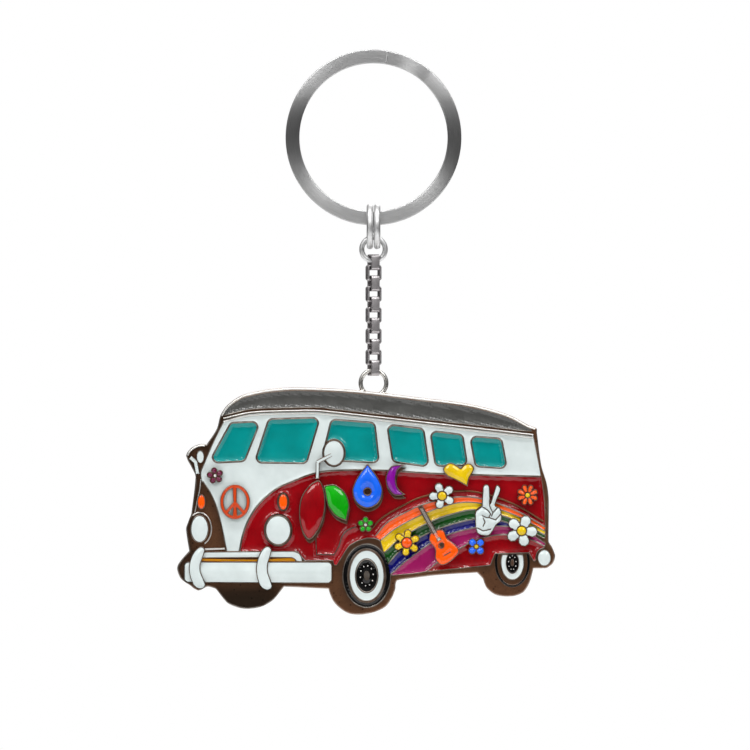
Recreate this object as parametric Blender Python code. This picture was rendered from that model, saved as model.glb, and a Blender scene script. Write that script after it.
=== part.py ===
"""Keychain: a split ring, a small connector ring, a jump ring, a flat-strip chain and a cast van charm.

The van stands in the XZ plane with its enamelled front towards -Y.
The origin is the inner top of the split ring, where a hook or a finger holds it.
"""

import math

import bmesh
import bpy
import numpy as np
from mathutils import Matrix
from mathutils import Vector
from mathutils.geometry import delaunay_2d_cdt

MM = 0.001

# split ring, two flat turns
SPLIT_OUTER_D = 29.3
SPLIT_STRIP = 2.3
SPLIT_LAYER = 1.0
SPLIT_LAYER_GAP = 0.06
SPLIT_BEVEL = 0.18
SPLIT_RAMP_DEG = 30.0
SPLIT_END_GAP_DEG = 3.0
SPLIT_SEAM_DEG = 62.0
SPLIT_STEPS = 84

# connector ring, two turns of round wire, seen edge-on
CONNECTOR_OUTER_D = 7.6
CONNECTOR_WIRE = 1.1
CONNECTOR_TURN_GAP = 0.1
CONNECTOR_RAMP_DEG = 50.0
CONNECTOR_END_GAP_DEG = 12.0
CONNECTOR_SEAM_DEG = 0.0
CONNECTOR_STEPS = 60

# jump ring between the connector and the chain
JUMP_OUTER_D = 4.9
JUMP_WIRE = 1.0
JUMP_STEPS = 28

# chain of flat-strip links
LINKS = 11
LINK_STRIP = 1.5
LINK_THICK = 0.3
LINK_INNER_WIDTH = 1.8
LINK_PITCH = 1.76
LINK_SLACK = 0.28
LINK_CORNER = 0.3
LINK_CORNER_STEPS = 4
CHAIN_TURN_DEG = 19.0

# wire loop on the van's roof
LOOP_OUTER_D = 5.05
LOOP_WIRE = 0.77
LOOP_ROOF_GAP = 0.05
LOOP_STEPS = 24
WIRE_SIDES = 10

# room left where one ring rests in another
SPLIT_FIT = 0.2
CONNECTOR_FIT = 0.36
JUMP_FIT = 0.3
LOOP_FIT = 0.28

# van plate, depths from its flat back
PLATE_RIM = 1.8
POOL_DEPTH = 0.4
ENAMEL_SINK = 0.06
SEAT_GAP = 0.03
EDGE_GAP = 0.04
RELIEF_LOW = PLATE_RIM + 0.45
RELIEF_MID = PLATE_RIM + 0.7
RELIEF_HIGH = PLATE_RIM + 1.0
RELIEF_CHAMFER = 0.1

# widths of the raised metal lines
ROOF_RIM = 0.6
GUTTER = 0.9
LINE = 0.36
FINE_LINE = 0.28
SMALLEST_POOL = 1.5
TOLERANCE = 0.012
SHORTEST = 0.12

# polished and enamelled colours, linear RGB
STEEL = (0.55, 0.54, 0.52)
DARK_METAL = (0.16, 0.095, 0.06)
GREY = (0.08, 0.08, 0.078)
WHITE = (0.8, 0.85, 0.87)
TEAL = (0.0, 0.26, 0.25)
RED = (0.31, 0.002, 0.006)
ORANGE = (0.87, 0.07, 0.005)
PEACE_ORANGE = (0.64, 0.06, 0.012)
YELLOW = (0.76, 0.52, 0.004)
BAND_GREEN = (0.0, 0.07, 0.0)
LEAF_GREEN = (0.0, 0.32, 0.0)
NAVY = (0.003, 0.003, 0.15)
MAGENTA = (0.35, 0.01, 0.13)
PURPLE = (0.2, 0.003, 0.26)
PLUM = (0.1, 0.0, 0.02)
BLUE = (0.007, 0.13, 0.8)
BLACK = (0.01, 0.01, 0.01)

SILHOUETTE = [
    (-25.55, -5.57), (-24.25, -3.63), (-21.48, -1.92), (-17.33, -1.08), (-12.25, -0.77),
    (-2.87, -1.23), (7.75, -2.47), (15.65, -3.48), (22.03, -5.15), (26.02, -7.15, 0),
    (27.13, -7.55), (27.22, -8.3, 0), (27.93, -13.6), (28.88, -16.9), (29.2, -19.8),
    (29.17, -26.3, 0), (30.23, -28.6), (29.68, -30.3), (28.1, -30.9), (26.65, -30.9, 0),
    (26.17, -32.8), (25.1, -34.75), (23.1, -35.55), (20.5, -35.35), (18.83, -34.1),
    (18.2, -32.6), (17.25, -31.6, 0), (10.87, -32.0), (4.75, -32.75), (3.75, -33.3),
    (3.5, -34.8), (1.98, -37.3), (-1.2, -38.5), (-4.25, -38.35), (-6.6, -36.5),
    (-7.5, -34.3, 0), (-14.9, -33.95, 0), (-16.5, -35.95), (-18.72, -37.3),
    (-21.8, -37.6), (-24.52, -36.5), (-26.2, -34.4, 0), (-27.6, -33.95), (-29.22, -34.6),
    (-30.6, -33.7), (-32.1, -32.6), (-32.7, -30.8), (-31.9, -29.35), (-30.7, -28.0, 0),
    (-31.22, -24.5), (-30.32, -21.6), (-29.92, -18.2), (-29.65, -15.8, 0),
    (-30.35, -14.0), (-31.2, -12.2), (-30.3, -10.8), (-28.8, -10.2), (-27.83, -10.3, 0),
    (-26.18, -7.8),
]
ROOF_LINE = [
    (-25.0, -5.0), (-24.25, -3.63), (-21.48, -1.92), (-17.33, -1.08), (-12.25, -0.77),
    (-2.87, -1.23), (7.75, -2.47), (15.65, -3.48), (22.03, -5.15), (26.3, -7.25),
]
GUTTER_LINE = [
    (-25.0, -5.78), (-20.1, -4.75), (-12.25, -4.47), (-8.38, -4.55), (2.67, -5.78),
    (14.05, -7.07), (26.5, -8.5),
]
SIDE_LINE = [
    (26.55, -8.9), (27.2, -12.2), (27.9, -15.6), (28.35, -19.5), (28.5, -23.3), (28.45, -26.9),
]
FRONT_LINE = [
    (-24.75, -6.3), (-26.1, -8.95), (-27.3, -11.6), (-28.6, -14.75), (-28.5, -16.4),
]
V_LEFT = [
    (-28.5, -16.4), (-27.28, -18.23), (-26.18, -20.73), (-25.35, -23.9), (-24.52, -27.95),
]
V_RIGHT = [
    (-22.3, -27.95), (-21.9, -25.83), (-21.2, -23.63), (-20.1, -21.55), (-18.72, -19.77),
    (-16.65, -17.97), (-14.57, -16.85),
]
BELT = [
    (-14.57, -16.85), (-12.77, -16.17), (-9.77, -15.05), (-5.62, -14.57), (1.42, -14.57),
    (11.67, -15.15), (27.85, -15.6),
]
WINDOWS = [
    [(-23.68, -6.82), (-19.13, -6.62), (-21.62, -12.9), (-27.15, -13.17)],
    [(-17.32, -6.2), (-9.15, -5.97), (-11.32, -13.22), (-19.58, -13.12)],
    [(-6.87, -6.27), (0.03, -6.82), (0.73, -13.12), (-8.4, -12.7)],
    [(2.45, -7.13), (8.17, -7.8), (9.02, -13.78), (3.38, -12.98)],
    [(9.65, -8.18), (14.68, -8.8), (15.42, -13.55), (10.5, -13.67)],
    [(16.28, -9.07), (21.15, -9.45), (22.03, -14.08), (17.17, -13.77)],
]
WINDOW_CORNER = 0.75
FRONT_ARCH = [
    (-6.2, -30.3), (-4.25, -27.23), (-1.9, -25.98), (-0.23, -25.78), (1.28, -26.4),
    (2.1, -29.0), (2.87, -32.2),
]
SILL = [(2.87, -32.2), (8.0, -31.6), (19.48, -30.45)]
REAR_ARCH = [(19.48, -30.45), (20.2, -28.53, 0), (25.93, -28.37, 0), (26.65, -29.8)]
RAINBOW = [
    [(-0.6, -24.6), (1.42, -22.5), (4.4, -20.7), (7.75, -19.1), (11.75, -18.25),
     (15.1, -18.0), (17.75, -18.3), (21.1, -19.3), (24.4, -20.7), (28.5, -23.2)],
    [(0.3, -25.5), (2.4, -23.2), (5.1, -21.7), (7.75, -20.45), (11.0, -19.5),
     (14.4, -19.0), (17.75, -19.25), (21.1, -20.25), (24.4, -21.6), (28.5, -23.95)],
    [(1.2, -26.2), (3.75, -24.2), (7.75, -22.1), (11.1, -20.75), (14.4, -19.95),
     (17.75, -20.05), (21.1, -21.1), (24.4, -22.4), (28.5, -24.65)],
    [(1.8, -28.3), (4.4, -26.0), (7.75, -24.0), (11.1, -22.45), (14.4, -21.5),
     (17.1, -21.15), (21.1, -22.0), (24.4, -23.25), (28.5, -25.3)],
    [(2.3, -30.3), (4.4, -28.0), (7.75, -25.75), (11.1, -24.25), (14.4, -23.2),
     (17.75, -22.65), (21.1, -22.95), (24.4, -24.05), (28.5, -25.95)],
    [(2.8, -32.0), (5.4, -29.7), (9.4, -26.8), (12.75, -25.2), (16.1, -24.3),
     (19.4, -23.85), (23.1, -24.0), (26.1, -25.0), (28.5, -26.6)],
    [(8.5, -31.55), (10.4, -30.1), (14.2, -27.7), (17.25, -26.1), (20.5, -25.35),
     (23.5, -25.4), (26.2, -26.1), (28.5, -27.25)],
]
BAND_NAMES = ["band_orange", "band_yellow", "band_green", "band_navy", "band_magenta"]
BAND_COLOURS = [ORANGE, YELLOW, BAND_GREEN, NAVY, MAGENTA]
DOOR_LINE = [
    (-9.6, -25.9), (-9.5, -28.6, 0), (-6.6, -28.65, 0), (-5.77, -27.2), (-5.2, -25.5),
    (-4.1, -24.4), (-2.87, -23.95),
]

FRONT_WHEEL = (-1.13, -32.13)
REAR_WHEEL = (23.15, -29.97)
FRONT_TYRE = (3.87, 5.18)
TYRE_LINE = 0.55
FRONT_WHITE = (2.75, 4.1)
FRONT_WHITE_HOLE = (2.0, 2.95)
FRONT_HUB = (1.7, 2.62)
FRONT_HUB_HOLE = (0.52, 0.87)
REAR_TYRE = (2.83, 3.98)
REAR_WHITE = (1.8, 2.7)
REAR_WHITE_HOLE = (1.15, 1.85)
REAR_CLIP = -28.75

BUMPER_BAR = [(-31.6, -29.75), (-6.85, -29.75), (-6.85, -33.45), (-31.6, -33.3)]
BUMPER_CORNER = 0.8
RAIL = [
    (-28.0, -28.15, 0), (-13.2, -28.15), (-12.0, -28.7), (-11.7, -29.6, 0), (-12.6, -29.6, 0),
    (-13.2, -29.2, 0), (-28.0, -29.2, 0),
]
BUMPER_SEAT = [
    (-30.2, -28.0), (-12.6, -28.0), (-11.4, -29.5), (-6.7, -29.5), (-6.4, -30.6),
    (-6.4, -33.6), (-30.2, -33.6),
]
GUARDS = [
    [(-29.0, -27.5), (-28.2, -27.9), (-28.9, -30.0), (-28.9, -31.6), (-28.1, -33.6),
     (-28.9, -34.2), (-30.0, -33.4), (-30.6, -31.0), (-30.1, -28.8)],
    [(-17.9, -27.4), (-17.1, -27.9), (-17.7, -30.0), (-17.7, -31.7), (-17.0, -33.8),
     (-17.8, -34.4), (-18.9, -33.5), (-19.4, -31.0), (-18.9, -28.7)],
]
HEADLIGHTS = [((-28.97, -24.32), (1.45, 2.25)), ((-15.88, -24.53), (2.07, 2.42))]
SIGNALS = [((-28.67, -19.83), (0.62, 1.17)), ((-15.05, -19.83), (0.72, 1.3))]
LAMP_RIM = 0.35
MIRROR = ((-6.6, -11.67), (1.65, 2.05))
BUMPER_END = ((28.45, -29.15), (1.15, 1.4))
PEACE = (-23.07, -19.83)
PEACE_OUTER = (2.5, 2.92)
PEACE_STROKE = 0.62

HEART = [
    (14.53, -14.23, 0), (13.5, -13.5), (12.47, -13.37), (11.58, -14.4), (12.4, -15.6),
    (14.0, -16.35), (15.65, -17.27, 0), (15.95, -15.9), (16.77, -14.4), (16.13, -13.45),
    (15.2, -13.55),
]
HAND = [
    (18.04, -20.4, 0), (18.2, -17.5), (18.84, -16.9), (19.35, -17.5), (19.45, -20.1, 0),
    (20.35, -17.2), (21.1, -17.4), (21.07, -18.3), (20.27, -20.3), (21.15, -20.95),
    (21.35, -22.8), (20.43, -23.75), (19.5, -25.2), (18.6, -25.5), (17.2, -24.9),
    (16.9, -22.4), (17.1, -21.1),
]
GUITAR = [
    (10.63, -24.47), (11.7, -24.6), (12.3, -25.9), (13.58, -26.9), (14.25, -28.1),
    (13.0, -29.6), (11.4, -30.35), (10.3, -29.3), (10.25, -27.7), (9.3, -26.3), (9.5, -25.1),
]
RED_BOARD = [
    (-9.0, -16.3), (-8.1, -18.5), (-8.1, -21.2), (-8.9, -24.0), (-10.6, -26.1),
    (-11.9, -24.6), (-12.4, -22.0), (-12.1, -19.3), (-10.8, -17.2),
]
GREEN_LEAF = [
    (-8.3, -17.2, 0), (-6.6, -16.9), (-4.7, -18.3), (-4.0, -20.6), (-4.5, -23.0, 0),
    (-6.3, -22.2), (-7.7, -20.2),
]
BLUE_DROP = [
    (-1.0, -13.4, 0), (0.3, -15.1), (1.5, -17.6), (0.9, -19.9), (-1.0, -20.9), (-2.9, -19.9),
    (-3.5, -17.6), (-2.3, -15.1),
]
BLUE_DROP_HOLE = ((-1.0, -18.1), (0.55, 0.55))
PURPLE_MOON = [
    (5.3, -13.6, 0), (4.1, -14.5), (3.75, -16.2), (4.2, -17.7), (5.35, -18.6, 0),
    (3.6, -18.75), (2.3, -17.4), (2.05, -15.5), (3.1, -13.8),
]
FLOWERS = [
    # name, colour, centre, petals, first petal's angle, petal distance, petal radius
    ("flower_white_front", WHITE, (11.42, -18.8), 5, 39, 1.5, 0.78),
    ("flower_white_rear", WHITE, (24.67, -24.62), 5, 67, 1.75, 0.98),
    ("flower_blue", BLUE, (17.13, -27.25), 4, 43, 0.95, 0.7),
    ("flower_orange", ORANGE, (25.67, -18.68), 8, 22, 1.35, 0.48),
    ("flower_yellow", YELLOW, (5.55, -26.62), 6, 24, 1.6, 0.68),
    ("flower_green", LEAF_GREEN, (-1.33, -23.63), 5, 90, 0.85, 0.53),
    ("flower_plum", PLUM, (-26.38, -15.45), 5, 100, 0.9, 0.53),
]
PETAL_STEPS = 6


def clear_scene():
    for item in list(bpy.data.objects):
        bpy.data.objects.remove(item)


def material(name, colour, roughness, metallic):
    skin = bpy.data.materials.new(name)
    skin.use_nodes = True
    shader = skin.node_tree.nodes["Principled BSDF"]
    shader.inputs["Base Color"].default_value = (*colour, 1.0)
    shader.inputs["Roughness"].default_value = roughness
    shader.inputs["Metallic"].default_value = metallic
    return skin


def make_object(name, mesh, skin, origin, matrix=None):
    """Store a mesh given in millimetres about its own origin, in metres."""
    bmesh.ops.recalc_face_normals(mesh, faces=mesh.faces)
    if matrix is not None:
        bmesh.ops.transform(mesh, matrix=matrix, verts=mesh.verts)
    bmesh.ops.scale(mesh, vec=(MM, MM, MM), verts=mesh.verts)
    data = bpy.data.meshes.new(name)
    mesh.to_mesh(data)
    mesh.free()
    data.materials.append(skin)
    item = bpy.data.objects.new(name, data)
    item.location = [value * MM for value in origin]
    bpy.context.collection.objects.link(item)
    return item


def metal(name, roughness=0.25, colour=STEEL):
    return material(name, colour, roughness, 1.0)


def enamel(name, colour):
    return material(name, colour, 0.12, 0.0)


# ---------------------------------------------------------------- outlines


def smooth(points, closed):
    """A rounded line through the points; a point with a third value is a corner."""
    places = [np.array(point[:2], float) for point in points]
    corner = [len(point) > 2 for point in points]
    count = len(places)
    line = []
    for i in range(count if closed else count - 1):
        a, b = places[i], places[(i + 1) % count]
        before = a if corner[i] or (not closed and i == 0) else places[i - 1]
        ends = not closed and i + 2 >= count
        after = b if corner[(i + 1) % count] or ends else places[(i + 2) % count]
        start = (b - before) / 2
        finish = (after - a) / 2
        steps = 1 + bend_steps(start, b - a, finish)
        for k in range(steps):
            t = k / steps
            line.append(
                (2 * t**3 - 3 * t**2 + 1) * a
                + (t**3 - 2 * t**2 + t) * start
                + (3 * t**2 - 2 * t**3) * b
                + (t**3 - t**2) * finish
            )
    if not closed:
        line.append(places[-1])
    return line


def bend_steps(start, chord, finish):
    """How many extra points a stretch needs: none if it is nearly straight."""
    bend = 0.0
    for way in (start, finish):
        size = np.linalg.norm(way) * np.linalg.norm(chord)
        if size > 0:
            bend += math.degrees(math.acos(float(np.clip(way @ chord / size, -1, 1))))
    return int(min(4, bend / 16))


def signed_area(loop):
    p = np.array(loop)
    q = np.roll(p, -1, 0)
    return 0.5 * float(np.sum(p[:, 0] * q[:, 1] - p[:, 1] * q[:, 0]))


def anticlockwise(loop):
    return list(loop) if signed_area(loop) > 0 else list(loop)[::-1]


def offset(loop, distance):
    """Move an anticlockwise loop's sides outwards, or inwards for a negative distance."""
    p = np.array(loop)
    before = p - np.roll(p, 1, 0)
    after = np.roll(p, -1, 0) - p
    moved = []
    for point, first, second in zip(p, before, after):
        first = first / np.linalg.norm(first)
        second = second / np.linalg.norm(second)
        n1 = np.array([first[1], -first[0]])
        n2 = np.array([second[1], -second[0]])
        middle = n1 + n2
        stretch = max(0.35, 1 + n1 @ n2)
        moved.append(point + distance * middle / stretch)
    return moved


def inset(loops, distance):
    """Move a region's borders inwards and drop what that turns inside out."""
    moved = [offset(loop, -distance) for loop in loops]
    points, faces = triangulate(moved)
    faces = orient(points, faces)
    kept = faces[winding(middles(points, faces), moved) == 1]
    group = components(kept, np.ones(len(kept), int))
    size = areas(points, kept)
    largest = max(range(group.max() + 1), key=lambda n: size[group == n].sum())
    borders = border_loops(kept[group == largest])
    return [thin_loop([points[v] for v in border]) for border in borders]


def rounded(points, radius, steps=4):
    """A polygon with each corner turned into an arc."""
    p = np.array(anticlockwise([np.array(point, float) for point in points]))
    line = []
    for i in range(len(p)):
        back = p[i - 1] - p[i]
        ahead = p[(i + 1) % len(p)] - p[i]
        back = back / np.linalg.norm(back)
        ahead = ahead / np.linalg.norm(ahead)
        half = math.acos(float(back @ ahead)) / 2
        centre = p[i] + (back + ahead) / np.linalg.norm(back + ahead) * radius / math.sin(half)
        start = centre - p[i] - back * radius / math.tan(half)
        first = math.atan2(-start[1], -start[0])
        turn = math.pi - 2 * half
        for k in range(steps + 1):
            angle = first + turn * k / steps
            line.append(centre + radius * np.array([math.cos(angle), math.sin(angle)]))
    return line


def ellipse(centre, radii, steps=24):
    angles = [2 * math.pi * k / steps for k in range(steps)]
    return [
        np.array([centre[0] + radii[0] * math.cos(a), centre[1] + radii[1] * math.sin(a)])
        for a in angles
    ]


def grown(radii, amount):
    return (radii[0] + amount, radii[1] + amount)


def strip(line, width):
    """A band of constant width along an open line."""
    p = np.array(line)
    way = np.gradient(p, axis=0)
    way /= np.linalg.norm(way, axis=1)[:, None]
    side = np.stack([-way[:, 1], way[:, 0]], 1) * width / 2
    return list(p + side) + list((p - side)[::-1])


def clip(loop, low, high):
    """The part of a loop between two levels."""
    for level, sign in ((low, 1), (high, -1)):
        kept = []
        for a, b in zip(loop, loop[1:] + loop[:1]):
            above = sign * (a[1] - level), sign * (b[1] - level)
            if above[0] >= 0:
                kept.append(a)
            if (above[0] >= 0) != (above[1] >= 0):
                kept.append(a + (b - a) * above[0] / (above[0] - above[1]))
        loop = kept
    return loop


def flower(centre, petals, first, distance, radius):
    """The outline of round petals about a centre."""
    half = math.pi / petals
    reach = radius**2 - (distance * math.sin(half)) ** 2
    if reach > 0:
        meet = distance * math.cos(half) + math.sqrt(reach)
        spread = math.atan2(meet * math.sin(half), meet * math.cos(half) - distance)
    else:
        spread = math.radians(125)
    line = []
    for k in range(petals):
        way = math.radians(first) + 2 * half * k
        middle = np.array(centre) + distance * np.array([math.cos(way), math.sin(way)])
        for n in range(PETAL_STEPS + (reach <= 0)):
            angle = way - spread + 2 * spread * n / PETAL_STEPS
            line.append(middle + radius * np.array([math.cos(angle), math.sin(angle)]))
    return line


# ---------------------------------------------------------------- flat regions


def inside(points, loop):
    """Which points lie inside a loop, by counting crossings."""
    p = np.array(loop)
    q = np.roll(p, -1, 0)
    x, y = points[:, 0:1], points[:, 1:2]
    spans = (p[:, 1] > y) != (q[:, 1] > y)
    rise = np.where(q[:, 1] == p[:, 1], 1.0, q[:, 1] - p[:, 1])
    cross = p[:, 0] + (y - p[:, 1]) / rise * (q[:, 0] - p[:, 0])
    return (np.sum(spans & (x < cross), axis=1) % 2) == 1


def winding(points, loops):
    """How many times the loops go round each point, anticlockwise ones counting up."""
    total = np.zeros(len(points), int)
    for loop in loops:
        p = np.array(loop)
        q = np.roll(p, -1, 0)
        x, y = points[:, 0:1], points[:, 1:2]
        rise = np.where(q[:, 1] == p[:, 1], 1.0, q[:, 1] - p[:, 1])
        right = x < p[:, 0] + (y - p[:, 1]) / rise * (q[:, 0] - p[:, 0])
        total += np.sum(right & (p[:, 1] <= y) & (q[:, 1] > y), axis=1)
        total -= np.sum(right & (q[:, 1] <= y) & (p[:, 1] > y), axis=1)
    return total


def triangulate(loops):
    """Delaunay triangles that keep every edge of the loops."""
    points, edges = [], []
    for loop in loops:
        first = len(points)
        points += [Vector((float(p[0]), float(p[1]))) for p in loop]
        edges += [(first + k, first + (k + 1) % len(loop)) for k in range(len(loop))]
    found = delaunay_2d_cdt(points, edges, [], 0, 1e-5, False)
    return np.array([tuple(v) for v in found[0]]), np.array([tuple(f) for f in found[2]])


def middles(points, faces):
    return points[faces].mean(1)


def neighbours(faces):
    """For each directed edge, the face it belongs to."""
    return {
        (face[k], face[(k + 1) % 3]): n
        for n, face in enumerate(faces.tolist())
        for k in range(3)
    }


def components(faces, labels):
    """Number the groups of touching faces that have one label."""
    owner = neighbours(faces)
    group = [-1] * len(faces)
    total = 0
    for start in range(len(faces)):
        if group[start] >= 0:
            continue
        group[start] = total
        waiting = [start]
        while waiting:
            face = faces[waiting.pop()].tolist()
            for k in range(3):
                other = owner.get((face[(k + 1) % 3], face[k]))
                if other is not None and group[other] < 0 and labels[other] == labels[start]:
                    group[other] = total
                    waiting.append(other)
        total += 1
    return np.array(group)


def areas(points, faces):
    a, b, c = (points[faces[:, k]] for k in range(3))
    return 0.5 * ((b - a)[:, 0] * (c - a)[:, 1] - (b - a)[:, 1] * (c - a)[:, 0])


def paint(points, faces, shapes):
    """The label of the last shape that covers each face's middle."""
    labels = np.zeros(len(faces), int)
    centres = middles(points, faces)
    for number, loop in shapes:
        labels[inside(centres, loop)] = number
    return labels


def drop_small(points, faces, labels, smallest, filler):
    size = areas(points, faces)
    group = components(faces, labels)
    for n in range(group.max() + 1):
        mine = group == n
        if size[mine].sum() < smallest and labels[mine][0] not in (0, filler):
            labels[mine] = filler
    return labels


def border_chains(faces, labels):
    """Runs of edges between two labels, cut where three or more meet."""
    owner = neighbours(faces)
    links = {}
    for (a, b), n in owner.items():
        other = owner.get((b, a))
        far = 0 if other is None else labels[other]
        if labels[n] != far and (labels[n] > far or other is None):
            links.setdefault(a, set()).add(b)
            links.setdefault(b, set()).add(a)
    used = set()
    chains = []
    knots = [v for v in links if len(links[v]) != 2] + list(links)
    for start in knots:
        for step in sorted(links[start]):
            if frozenset((start, step)) in used:
                continue
            chain = [start, step]
            used.add(frozenset((start, step)))
            while len(links[chain[-1]]) == 2 and chain[-1] != start:
                ahead = [v for v in links[chain[-1]] if v != chain[-2]][0]
                used.add(frozenset((chain[-1], ahead)))
                chain.append(ahead)
            chains.append(chain)
    return chains


def thin(line):
    """Leave out points that a straight line or a close neighbour makes needless."""
    kept = simplify(line)
    tidy = [kept[0]]
    for point in kept[1:-1]:
        if np.linalg.norm(point - tidy[-1]) > SHORTEST:
            tidy.append(point)
    while len(tidy) > 1 and np.linalg.norm(kept[-1] - tidy[-1]) < SHORTEST:
        tidy.pop()
    return tidy + [kept[-1]]


def thin_loop(loop):
    """Leave out points of a closed line that are too near the one before."""
    kept = []
    for point in loop:
        if not kept or np.linalg.norm(point - kept[-1]) > SHORTEST / 2:
            kept.append(point)
    if np.linalg.norm(kept[0] - kept[-1]) < SHORTEST / 2:
        kept.pop()
    return kept


def simplify(line):
    if len(line) < 3:
        return line
    a, b = line[0], line[-1]
    way = b - a
    length = np.linalg.norm(way)
    rest = np.array(line[1:-1]) - a
    if length < 1e-9:
        apart = np.linalg.norm(rest, axis=1)
    else:
        apart = np.abs(rest[:, 0] * way[1] - rest[:, 1] * way[0]) / length
    far = int(np.argmax(apart)) + 1
    if apart[far - 1] <= TOLERANCE:
        return [a, b]
    return simplify(line[: far + 1])[:-1] + simplify(line[far:])


def flat_map(shapes, smallest, filler):
    """Points, triangles and labels of overlapping shapes, tidied so that no edge is tiny."""
    loops = [loop for number, loop in shapes]
    points, faces = triangulate(loops)
    faces = orient(points, faces)
    labels = paint(points, faces, shapes)
    labels = drop_small(points, faces, labels, smallest, filler)
    lines = [thin([points[v] for v in chain]) for chain in border_chains(faces, labels)]
    tidy_points, tidy_edges = [], []
    index = {}
    for line in lines:
        ids = []
        for point in line:
            key = (round(float(point[0]), 4), round(float(point[1]), 4))
            if key not in index:
                index[key] = len(tidy_points)
                tidy_points.append(Vector(key))
            ids.append(index[key])
        tidy_edges += [pair for pair in zip(ids, ids[1:]) if pair[0] != pair[1]]
    found = delaunay_2d_cdt(tidy_points, tidy_edges, [], 0, 1e-5, False)
    new_points = np.array([tuple(v) for v in found[0]])
    new_faces = orient(new_points, np.array([tuple(f) for f in found[2]]))
    walls = {frozenset(edge) for edge in found_walls(found, new_points, tidy_points, tidy_edges)}
    new_labels = vote(new_points, new_faces, walls, points, faces, labels)
    return new_points, new_faces, new_labels


def found_walls(found, new_points, tidy_points, tidy_edges):
    """The triangulation's edges that lie on the tidied lines."""
    ends = np.array([[tuple(tidy_points[a]), tuple(tidy_points[b])] for a, b in tidy_edges])
    low = ends.min(1) - 1e-4
    high = ends.max(1) + 1e-4
    way = ends[:, 1] - ends[:, 0]
    size = np.linalg.norm(way, axis=1)
    for a, b in found[1]:
        on = np.ones(len(ends), bool)
        for v in (a, b):
            p = new_points[v]
            rest = p - ends[:, 0]
            apart = np.abs(rest[:, 0] * way[:, 1] - rest[:, 1] * way[:, 0]) / size
            on &= (apart < 1e-4) & (p >= low).all(1) & (p <= high).all(1)
        if on.any():
            yield a, b


def orient(points, faces):
    size = areas(points, faces)
    faces = faces[np.abs(size) > 1e-9]
    size = size[np.abs(size) > 1e-9]
    return np.where(size[:, None] > 0, faces, faces[:, ::-1])


def vote(points, faces, walls, old_points, old_faces, old_labels):
    """Give each walled-in group of faces the label that most of its area had before."""
    owner = neighbours(faces)
    group = [-1] * len(faces)
    total = 0
    for start in range(len(faces)):
        if group[start] >= 0:
            continue
        group[start] = total
        waiting = [start]
        while waiting:
            face = faces[waiting.pop()].tolist()
            for k in range(3):
                a, b = face[k], face[(k + 1) % 3]
                other = owner.get((b, a))
                if frozenset((a, b)) in walls or other is None or group[other] >= 0:
                    continue
                group[other] = total
                waiting.append(other)
        total += 1
    group = np.array(group)
    size = areas(points, faces)
    centres = middles(points, faces)
    before = label_at(centres, old_points, old_faces, old_labels)
    labels = np.zeros(len(faces), int)
    for n in range(total):
        mine = group == n
        weight = np.bincount(before[mine], weights=size[mine])
        labels[mine] = int(np.argmax(weight))
    return labels


def label_at(places, points, faces, labels):
    a, b, c = (points[faces[:, k]] for k in range(3))
    out = np.zeros(len(places), int)
    for n, p in enumerate(places):
        sides = [
            (q[:, 0] - r[:, 0]) * (p[1] - r[:, 1]) - (q[:, 1] - r[:, 1]) * (p[0] - r[:, 0])
            for r, q in ((a, b), (b, c), (c, a))
        ]
        hit = np.nonzero((sides[0] >= 0) & (sides[1] >= 0) & (sides[2] >= 0))[0]
        out[n] = labels[hit[0]] if len(hit) else 0
    return out


def border_loops(faces):
    """The closed borders of a set of faces, outer ones anticlockwise."""
    owner = neighbours(faces)
    ahead = {a: b for (a, b) in owner if (b, a) not in owner}
    loops = []
    while ahead:
        start = next(iter(ahead))
        loop = [start]
        step = ahead.pop(start)
        while step != start:
            loop.append(step)
            step = ahead.pop(step)
        loops.append(loop)
    return loops


# ---------------------------------------------------------------- solids


def at_depth(point, depth):
    """Van drawing coordinates and height above the back, as seen from the loop's centre."""
    return (float(point[0]), PLATE_RIM / 2 - depth, float(point[1]))


def prism(loops, low, high, chamfer):
    """A closed slab between two depths, its front edge cut back by the chamfer."""
    mesh = bmesh.new()
    rings = [(loops, low)]
    if chamfer > 0:
        rings.append((loops, high - chamfer))
        rings.append(([offset(loop, -chamfer) for loop in loops], high))
    else:
        rings.append((loops, high))
    levels = []
    for outline, depth in rings:
        levels.append([[mesh.verts.new(at_depth(p, depth)) for p in loop] for loop in outline])
    for lower, upper in zip(levels, levels[1:]):
        for first, second in zip(lower, upper):
            for k in range(len(first)):
                n = (k + 1) % len(first)
                mesh.faces.new((first[k], first[n], second[n], second[k]))
    for verts, outline in ((levels[0], rings[0][0]), (levels[-1], rings[-1][0])):
        flat_points, faces = triangulate(outline)
        centres = middles(flat_points, faces)
        keep = np.zeros(len(faces), int)
        for loop in outline:
            keep += inside(centres, loop)
        flat = [v for loop in verts for v in loop]
        for face in faces[keep % 2 == 1]:
            mesh.faces.new([flat[n] for n in face])
    return mesh


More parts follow.
